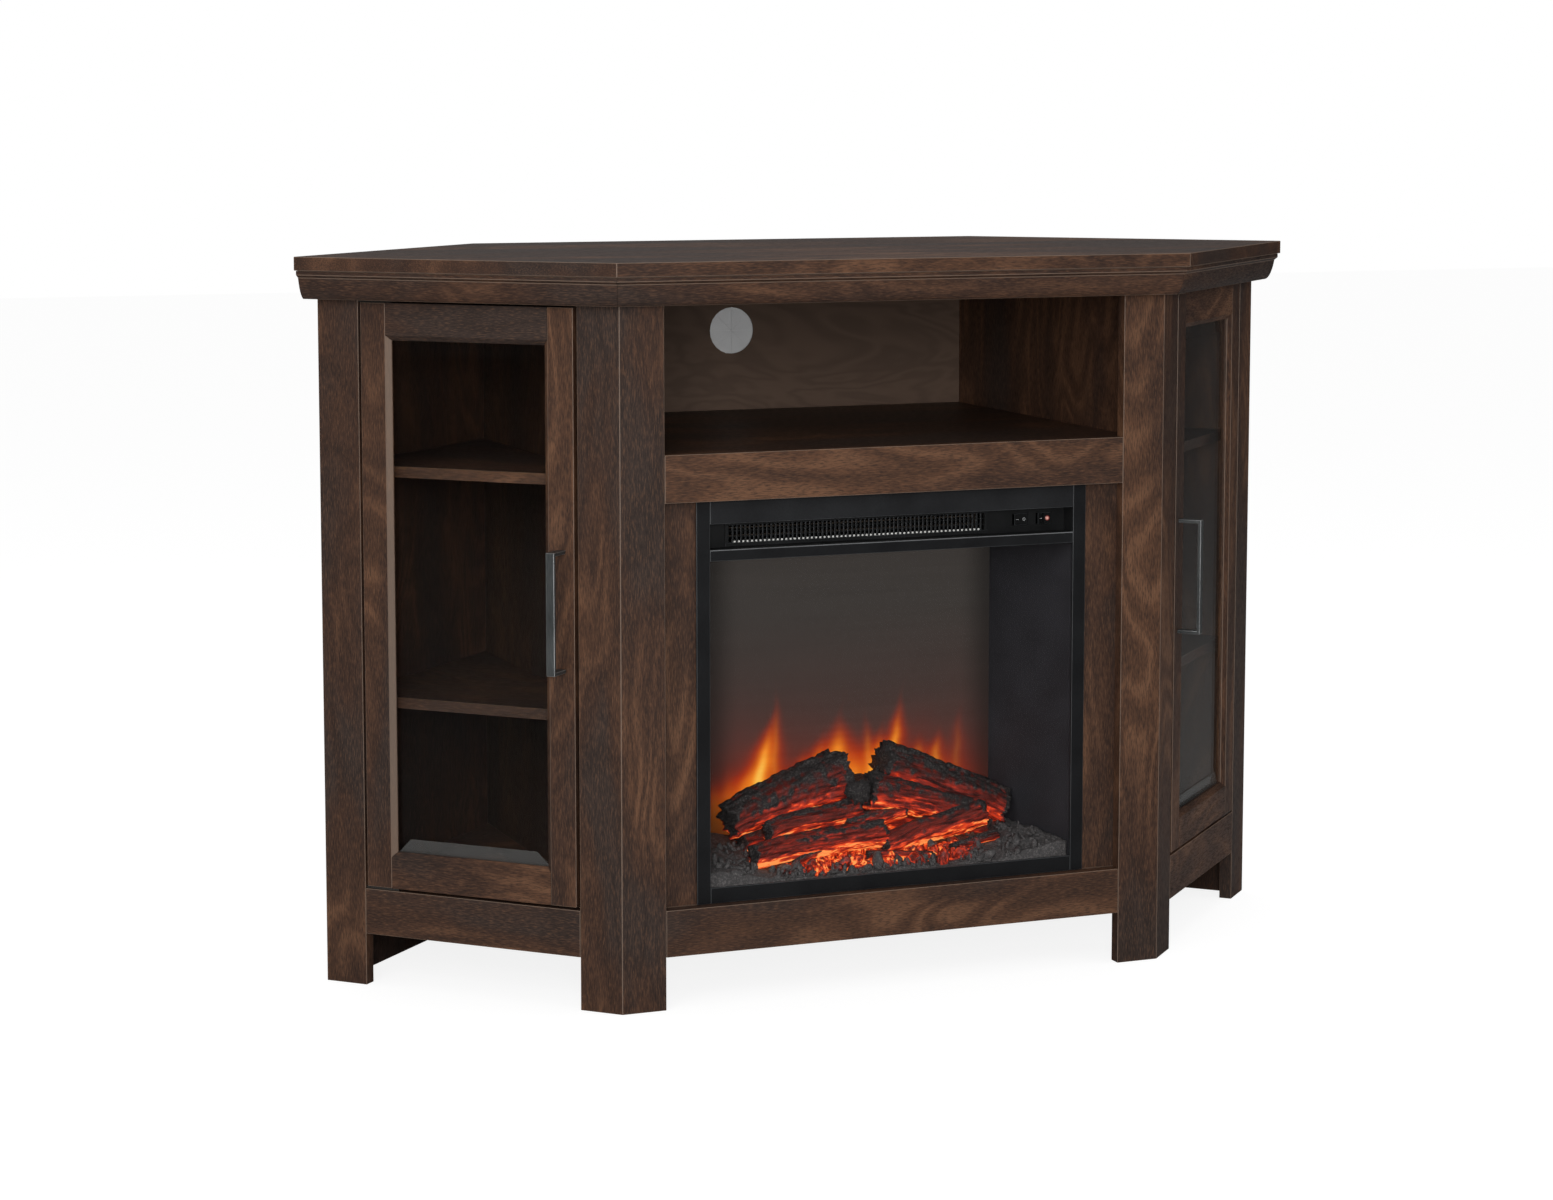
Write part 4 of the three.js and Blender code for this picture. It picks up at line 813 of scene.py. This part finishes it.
# logs: moulded resin with bark ridges, charred on top and lit red from below; points of the logs are given
# as shares of the hearth: across from the middle, back, up
hearth = {
    "front": (15.3 + frontFace) * mm,
    "floor": 111.1 * mm,
    "half": 174 * mm,
    "depth": 121 * mm,
    "height": 140 * mm,
    "thick": 50 * mm,
    # start, end, radii in shares of the thickness, heat, char, bow upwards
    "logs": [
        ((-0.97, 0.56, 0.5), (-0.13, 0.74, 0.78), (0.42, 0.66), 0.6, 0.0, 0.05),
        ((0.14, 0.785, 0.84), (1.0, 0.7, 0.42), (0.54, 0.42), 0.55, 0.02, 0.05),
        ((-0.02, 0.56, 0.66), (0.8, 0.6, 0.42), (0.46, 0.34), 0.8, -0.1, 0.02),
        ((-0.12, 0.4, 0.68), (-0.03, 0.74, 0.66), (0.3, 0.36), 0.25, 0.3, 0.0),
        ((-0.75, 0.41, 0.42), (-0.1, 0.51, 0.53), (0.26, 0.3), 0.95, -0.1, 0.03),
        ((-0.87, 0.3, 0.26), (0.05, 0.38, 0.34), (0.28, 0.34), 1.1, -0.25, 0.05),
        ((0.02, 0.33, 0.24), (0.78, 0.51, 0.42), (0.28, 0.32), 1.05, -0.2, 0.03),
        ((-0.62, 0.2, 0.2), (-0.3, 0.34, 0.3), (0.1, 0.12), 0.9, 0.0, 0.0),
        ((-0.1, 0.26, 0.2), (0.34, 0.22, 0.17), (0.12, 0.1), 1.1, -0.2, 0.0),
        ((0.5, 0.3, 0.2), (0.86, 0.4, 0.24), (0.1, 0.14), 0.7, 0.05, 0.0),
        ((-0.86, 0.68, 0.3), (-0.02, 0.76, 0.42), (0.3, 0.34), 0.75, -0.05, 0.0),
        ((0.0, 0.76, 0.44), (0.88, 0.7, 0.26), (0.34, 0.28), 0.75, -0.05, 0.0),
        ((-0.2, 0.44, 0.42), (0.22, 0.48, 0.5), (0.22, 0.2), 1.0, -0.1, 0.0),
    ],
}
bark = {
    "around": 72,  # points round a log
    "step": 1.9,  # mm between rings of points
    # scales of the bark, fibre, strand and chip noises, round the log and along it
    "noises": [(1.8, 0.02), (6.5, 0.03), (15, 0.05), (3.5, 0.16)],
    "splits": (0, 2.2, 3.9, 5.1),  # turns of the split faces
    "splitReach": 0.86,  # of the radius
    "endReach": 0.8,  # radii from an end over which its strands break
    "ragged": 0.26,
    "caps": [(0.72, 0.5), (0.4, -0.8), (0.0, 0.4)],  # share of the radius and sink of the rings of an end
    "capSink": 2.2 * mm,
}


def hearthPoint(across, back, up):
    y = hearth["front"] + back * hearth["depth"]
    return Vector((across * hearth["half"], y, hearth["floor"] + up * hearth["height"]))


def addLog(bm, burn, grain, log, seed):
    start, end, radii, logHeat, logChar, bow = log
    start, end = hearthPoint(*start), hearthPoint(*end)
    length = (end - start).length
    run = (end - start).normalized()
    sideways = run.cross(Vector((0, 0, 1))).normalized()
    upwards = sideways.cross(run).normalized()
    rings, around = max(24, int(length / mm / bark["step"])), bark["around"]
    loops = []
    for i in range(rings + 1):
        share = i / rings
        lengthwise = share * length / mm
        drift = noiseAt(lengthwise * 0.02, seed, 5.0) * 0.05
        lifted = bow * 4 * share * (1 - share) + drift
        centre = start.lerp(end, share) + upwards * lifted * hearth["thick"]
        radius = hearth["thick"] * (radii[0] + (radii[1] - radii[0]) * share)
        nearEnd = min(share, 1 - share) * length / radius
        loop = []
        for k in range(around):
            angle = 2 * math.pi * k / around
            flat = Vector((math.cos(angle), math.sin(angle)))
            # split faces: the round is cut by a few planes
            facing = max(math.cos(angle - (seed + a)) for a in bark["splits"])
            split = min(1.0, bark["splitReach"] / max(0.3, facing))
            ridge, fibre, strand, chip = [
                noiseAt(flat.x * turning, flat.y * turning, lengthwise * along + seed * (n + 1))
                for n, (turning, along) in enumerate(bark["noises"])]
            crack = max(0.0, 1 - abs(fibre + 0.1 * chip) * 8)
            swell = split * (1 + 0.13 * ridge + 0.07 * fibre + 0.045 * strand + 0.06 * chip - 0.09 * crack)
            point = centre + (sideways * flat.x + upwards * flat.y) * radius * swell
            if nearEnd < bark["endReach"]:  # broken ends: strands stop at different lengths
                outward = 1 if share > 0.5 else -1
                ragged = noiseAt(flat.x * 4, flat.y * 4, seed * 5 + outward) + 0.6 * strand
                point += run * outward * radius * bark["ragged"] * ragged * (1 - nearEnd / bark["endReach"])
            v = bm.verts.new(point)
            towardsBed = max(0.0, -flat.y * 0.85 + 0.3)
            glowing = 0.16 + 0.95 * towardsBed ** 1.4 + 0.7 * crack * (0.35 + towardsBed) + 0.35 * ridge
            charred = 0.22 + logChar + 0.5 * flat.y + 0.4 * chip + 0.35 * ridge
            charred += 0.45 if nearEnd < 0.25 else 0.0
            v[burn] = (max(0.0, logHeat * glowing), clamped(charred), crack, 1.0)
            v[grain] = Vector((lengthwise * mm + seed, flat.x * radius, flat.y * radius))
            loop.append(v)
        loops.append(loop)
    for loop, nextLoop in zip(loops, loops[1:]):
        joinLoops(bm, loop, nextLoop)
    for loop, outward in ((loops[0], -1), (loops[-1], 1)):
        middle = sum((v.co for v in loop), Vector()) / around
        outer = loop
        for share, sink in bark["caps"]:
            inner = []
            for k, v in enumerate(loop if share else loop[:1]):
                rough = 1 + 1.2 * noiseAt(k * 0.5, seed, share * 9)
                w = bm.verts.new(middle.lerp(v.co, share) - run * outward * sink * bark["capSink"] * rough)
                w[burn] = (0.15 * logHeat, 0.75 + 0.2 * share, 0.0, 1.0)
                w[grain] = w.co.copy()
                inner.append(w)
            if share:
                joinLoops(bm, outer, inner)
            else:
                for k in range(around):
                    bm.faces.new([outer[k], outer[(k + 1) % around], inner[0]])
            outer = inner


# fired resin: char, red body and glow come from the piece's own points, broken up by fibres along the wood
def firedResin(name, look):
    add = startMaterial(name)
    state = add("Attribute", {"attribute_name": "burn"})
    parts = add("SeparateColor", inputs=[state]).outputs
    grain = add("Attribute", {"attribute_name": "grainPlace"}).outputs["Vector"]
    drawn = add("Mapping", textureSpace, {"Vector": grain, "Scale": look["stretch"]})
    fibre = add("TexNoise", inputs={
        "Vector": drawn, "Scale": 1000 / look["fibre"], "Detail": 4.0, "Roughness": 0.65,
        "Distortion": 0.3})
    blotch, fleck = [
        add("TexNoise", inputs={
            "Vector": grain, "Scale": 1000 / look[size], "Detail": 3.0, "Roughness": roughness})
        for size, roughness in (("blotch", 0.6), ("fleck", 0.7))]
    uneven = add("Math", {"operation": "MULTIPLY_ADD"}, [blotch, 0.9, parts["Green"]])
    strands = add("Math", {"operation": "MULTIPLY_ADD"}, [fibre, 0.7, uneven])
    charred = add("MapRange", smoothStep, [strands, 1.08, 1.44])
    streak = add("MapRange", None, [fibre, 0.36, 0.64])
    bodyTone = add("Mix", colourMix, [streak, look["deep"], look["red"]])
    ashen = add("MapRange", None, [fleck, 0.48, 0.68])
    charTone = add("Mix", colourMix, [ashen, look["char"], look["ash"]])
    surfaceTone = add("Mix", colourMix, [charred, bodyTone, charTone])
    # light leaks between the fibres and along the cracks, and dies where the wood is charred
    leak = add("MapRange", smoothStep, [fibre, 0.4, 0.68, *look["leak"]])
    heat = add("Math", multiply, [parts["Red"], leak])
    dying = add("MapRange", None, [charred, 0.0, 1.0, 1.0, 0.12])
    alive = add("Math", multiply, [heat, dying])
    ramp = add("ValToRGB", inputs=[alive])
    stops = ramp.color_ramp.elements
    stops[0].position, stops[0].color = 0.06, (0, 0, 0, 1)
    stops[1].position, stops[1].color = 1.0, linearColour(look["hot"])
    for position, tone in ((0.25, look["ember"]), (0.5, look["orange"]), (0.75, look["flare"])):
        stops.new(position).color = linearColour(tone)
    relief = add("Bump", inputs={"Strength": 0.8, "Distance": look["relief"] * mm, "Height": fibre})
    resin = add("BsdfPrincipled", inputs={
        "Base Color": surfaceTone, "Roughness": 0.7, "Specular IOR Level": 0.3, "Normal": relief,
        "Emission Color": ramp, "Emission Strength": 1.0})
    add("OutputMaterial", inputs=[resin])


# sizes in mm: across a fibre, a blotch of char, a fleck of ash, and the depth of the relief
firedResin("charredLogResin", {
    "stretch": (6, 1, 1), "fibre": 4.5, "blotch": 22, "fleck": 2.2, "relief": 1.4, "leak": (0.3, 1.35),
    "char": "#262323", "ash": "#55504e", "deep": "#2e0f0c", "red": "#86291c",
    "ember": "#5c120a", "orange": "#b42c0e", "flare": "#f0501e", "hot": "#ff9c50"})
firedResin("litEmberResin", {
    "stretch": (1.4, 1, 1), "fibre": 5, "blotch": 14, "fleck": 2.4, "relief": 1.2, "leak": (0.25, 1.5),
    "char": "#454343", "ash": "#6c6867", "deep": "#3c1510", "red": "#86281a",
    "ember": "#6c160a", "orange": "#c4340f", "flare": "#f55a22", "hot": "#ffa654"})

# a mesh whose points carry heat, char and cracks, and their place along the wood
def startBurning():
    bm = bmesh.new()
    return bm, bm.verts.layers.float_color.new("burn"), bm.verts.layers.float_vector.new("grainPlace")


bm, burnLayer, grainLayer = startBurning()
for seed, log in enumerate(hearth["logs"]):
    addLog(bm, burnLayer, grainLayer, log, seed * 3.7 + 1.3)
makePiece("burning_logs", bm, ["charredLogResin"], "cabinet", ["log_set"], smooth=True)

# ember bed: ash at the glass and at both ends, glowing coals in the middle
bed = {
    "cell": 2.4 * mm,
    "front": (21.6 + frontFace) * mm,
    "back": (133 + frontFace) * mm,
    "halfFront": 217 * mm,
    "halfBack": 172 * mm,
    "footHeight": 15 * mm,
    "backHeight": 40 * mm,
    "lumps": [(55, 0.5, 3.4 * mm), (170, 2.5, 1.9 * mm)],  # scale, place in the noise, height
    "ashFrom": 120 * mm,  # from the middle; ash is heaped at both ends
    "ashSlope": 0.16,
    "fireMiddle": -6 * mm,
    "fireHalf": 122 * mm,
    "coals": 210,
    "coalAcross": (-128, 122),  # mm from the middle
    "coalBack": (9, 52),  # mm behind the bed's front
    "coalSize": (3.2, 8.5),
    "coalStretch": [(1.0, 2.0), (0.7, 1.1), (0.55, 0.9)],
    "coalHeats": (0.2, 0.6, 0.85, 1.0, 1.15, 1.3),
    "flakes": 260,
    "flakeSize": (1.6, 6.5),
    "flakeStretch": [(1.0, 2.4), (0.5, 1.0), (0.25, 0.6)],
}
dice = random.Random(11)


def bedHeight(x, y):
    share = (y - bed["front"]) / (bed["back"] - bed["front"])
    height = bed["footHeight"] + (bed["backHeight"] - bed["footHeight"]) * share
    lumps = sum(noiseAt(x * scale, y * scale, place) * rise for scale, place, rise in bed["lumps"])
    ends = max(0.0, abs(x) - bed["ashFrom"]) * bed["ashSlope"]
    return height + lumps + ends


def emberHeat(x, y):
    share = (y - bed["front"]) / (bed["back"] - bed["front"])
    across = math.exp(-(abs(x - bed["fireMiddle"]) / bed["fireHalf"]) ** 5)
    return across * math.exp(-(max(0.0, share - 0.3) / 0.3) ** 2) * fading(-(share - 0.1) * 55)


bm, burnLayer, grainLayer = startBurning()
columns, rows = int(2 * bed["halfFront"] / bed["cell"]), int((bed["back"] - bed["front"]) / bed["cell"])
top = []
for j in range(rows + 1):
    share = j / rows
    y = bed["front"] + (bed["back"] - bed["front"]) * share
    half = bed["halfFront"] + (bed["halfBack"] - bed["halfFront"]) * share
    line = []
    for i in range(columns + 1):
        x = half * (2 * i / columns - 1)
        v = bm.verts.new((x, y, hearth["floor"] + bedHeight(x, y)))
        v[burnLayer] = (0.75 * emberHeat(x, y), 0.85 - 0.7 * emberHeat(x, y), 0.0, 1.0)
        v[grainLayer] = v.co.copy()
        line.append(v)
    top.append(line)
rim = fillGrid(bm, top)
foot = [bm.verts.new((v.co.x, v.co.y, hearth["floor"])) for v in rim]
for v in foot:
    v[burnLayer] = (0.0, 0.9, 0.0, 1.0)
    v[grainLayer] = v.co.copy()
joinLoops(bm, rim, foot)


# a broken lump: coals glow by their place on the bed, flakes are cold char and ash
def addLump(bm, centre, size, stretch, fire, char, seed, detail=2):
    made = bmesh.ops.create_icosphere(bm, subdivisions=detail, radius=1.0)
    turn = Euler([dice.uniform(0, 6.2) for axis in range(3)]).to_matrix()
    for v in made["verts"]:
        facet = (0.24 * noise.noise(v.co * 1.6 + Vector((seed, 0, 0)))
                 + 0.16 * noise.noise(v.co * 4 + Vector((0, seed, 0))))
        shaped = Vector(a * b for a, b in zip(v.co, stretch)) * (1 + facet)
        shade = noise.noise(v.co * 2.4 + Vector((seed, seed, 0)))
        v[burnLayer] = (max(0.0, fire * (0.8 + 0.6 * shade)), clamped(char - 0.5 * shade), 0.0, 1.0)
        v[grainLayer] = shaped * size + Vector((seed, 0, 0))
        v.co = centre + turn @ shaped * size


for k in range(bed["coals"]):
    x = dice.uniform(*bed["coalAcross"]) * mm
    y = bed["front"] + dice.uniform(*bed["coalBack"]) * mm
    size = dice.uniform(*bed["coalSize"]) * mm
    stretch = [dice.uniform(*span) for span in bed["coalStretch"]]
    centre = Vector((x, y, hearth["floor"] + bedHeight(x, y) + size * 0.2))
    fire = emberHeat(x, y) * dice.choice(bed["coalHeats"])
    addLump(bm, centre, size, stretch, fire, 0.75 - 0.75 * min(1.0, fire), k)
for k in range(bed["flakes"]):
    x = dice.choice((dice.uniform(-200, -95), dice.uniform(95, 212), dice.uniform(-200, 212))) * mm
    y = bed["front"] + dice.uniform(3, 12 if abs(x) < bed["ashFrom"] else 80) * mm
    if abs(x) > bed["halfFront"] - 0.41 * (y - bed["front"]) - 8 * mm:
        continue  # outside the bed
    size = dice.uniform(*bed["flakeSize"]) * mm
    stretch = [dice.uniform(*span) for span in bed["flakeStretch"]]
    centre = Vector((x, y, hearth["floor"] + bedHeight(x, y) + size * 0.1))
    addLump(bm, centre, size, stretch, 0.06 * dice.random(), 0.95, 400 + k, 1)
makePiece("ember_coals", bm, ["litEmberResin"], "cabinet", ["ember_bed"], smooth=True)
print("logs and embers made")

# cable port: a slit silicone membrane pressed into the hole of the back
port = {
    "radius": 28.3 * mm,
    "middle": 695 * mm,
    "inset": 0.6 * mm,
    "thickness": 1.2 * mm,
    "petals": 8,
    "petalSteps": 8,  # straight pieces along a petal's arc
    "slit": 0.07 * mm,
}
low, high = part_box("back_panel")
bm = bmesh.new()
for petal in range(port["petals"]):
    first, last = [2 * math.pi * k / port["petals"] for k in (petal, petal + 1)]
    bisector = Vector((math.cos((first + last) / 2), 0, math.sin((first + last) / 2))) * port["slit"]
    angles = [first + (last - first) * s / port["petalSteps"] for s in range(port["petalSteps"] + 1)]
    arc = [Vector((math.cos(a), 0, math.sin(a))) * (port["radius"] - port["slit"]) for a in angles]
    faceY = low.y + port["inset"]
    rings = [
        [bm.verts.new(Vector((0, y, port["middle"])) + p + bisector) for p in [Vector((0, 0, 0))] + arc]
        for y in (faceY, faceY + port["thickness"])]
    bm.faces.new(rings[0])
    bm.faces.new(rings[1][::-1])
    joinLoops(bm, *rings)
makePiece("cable_port_membrane", bm, ["milkySilicone"], "cabinet")
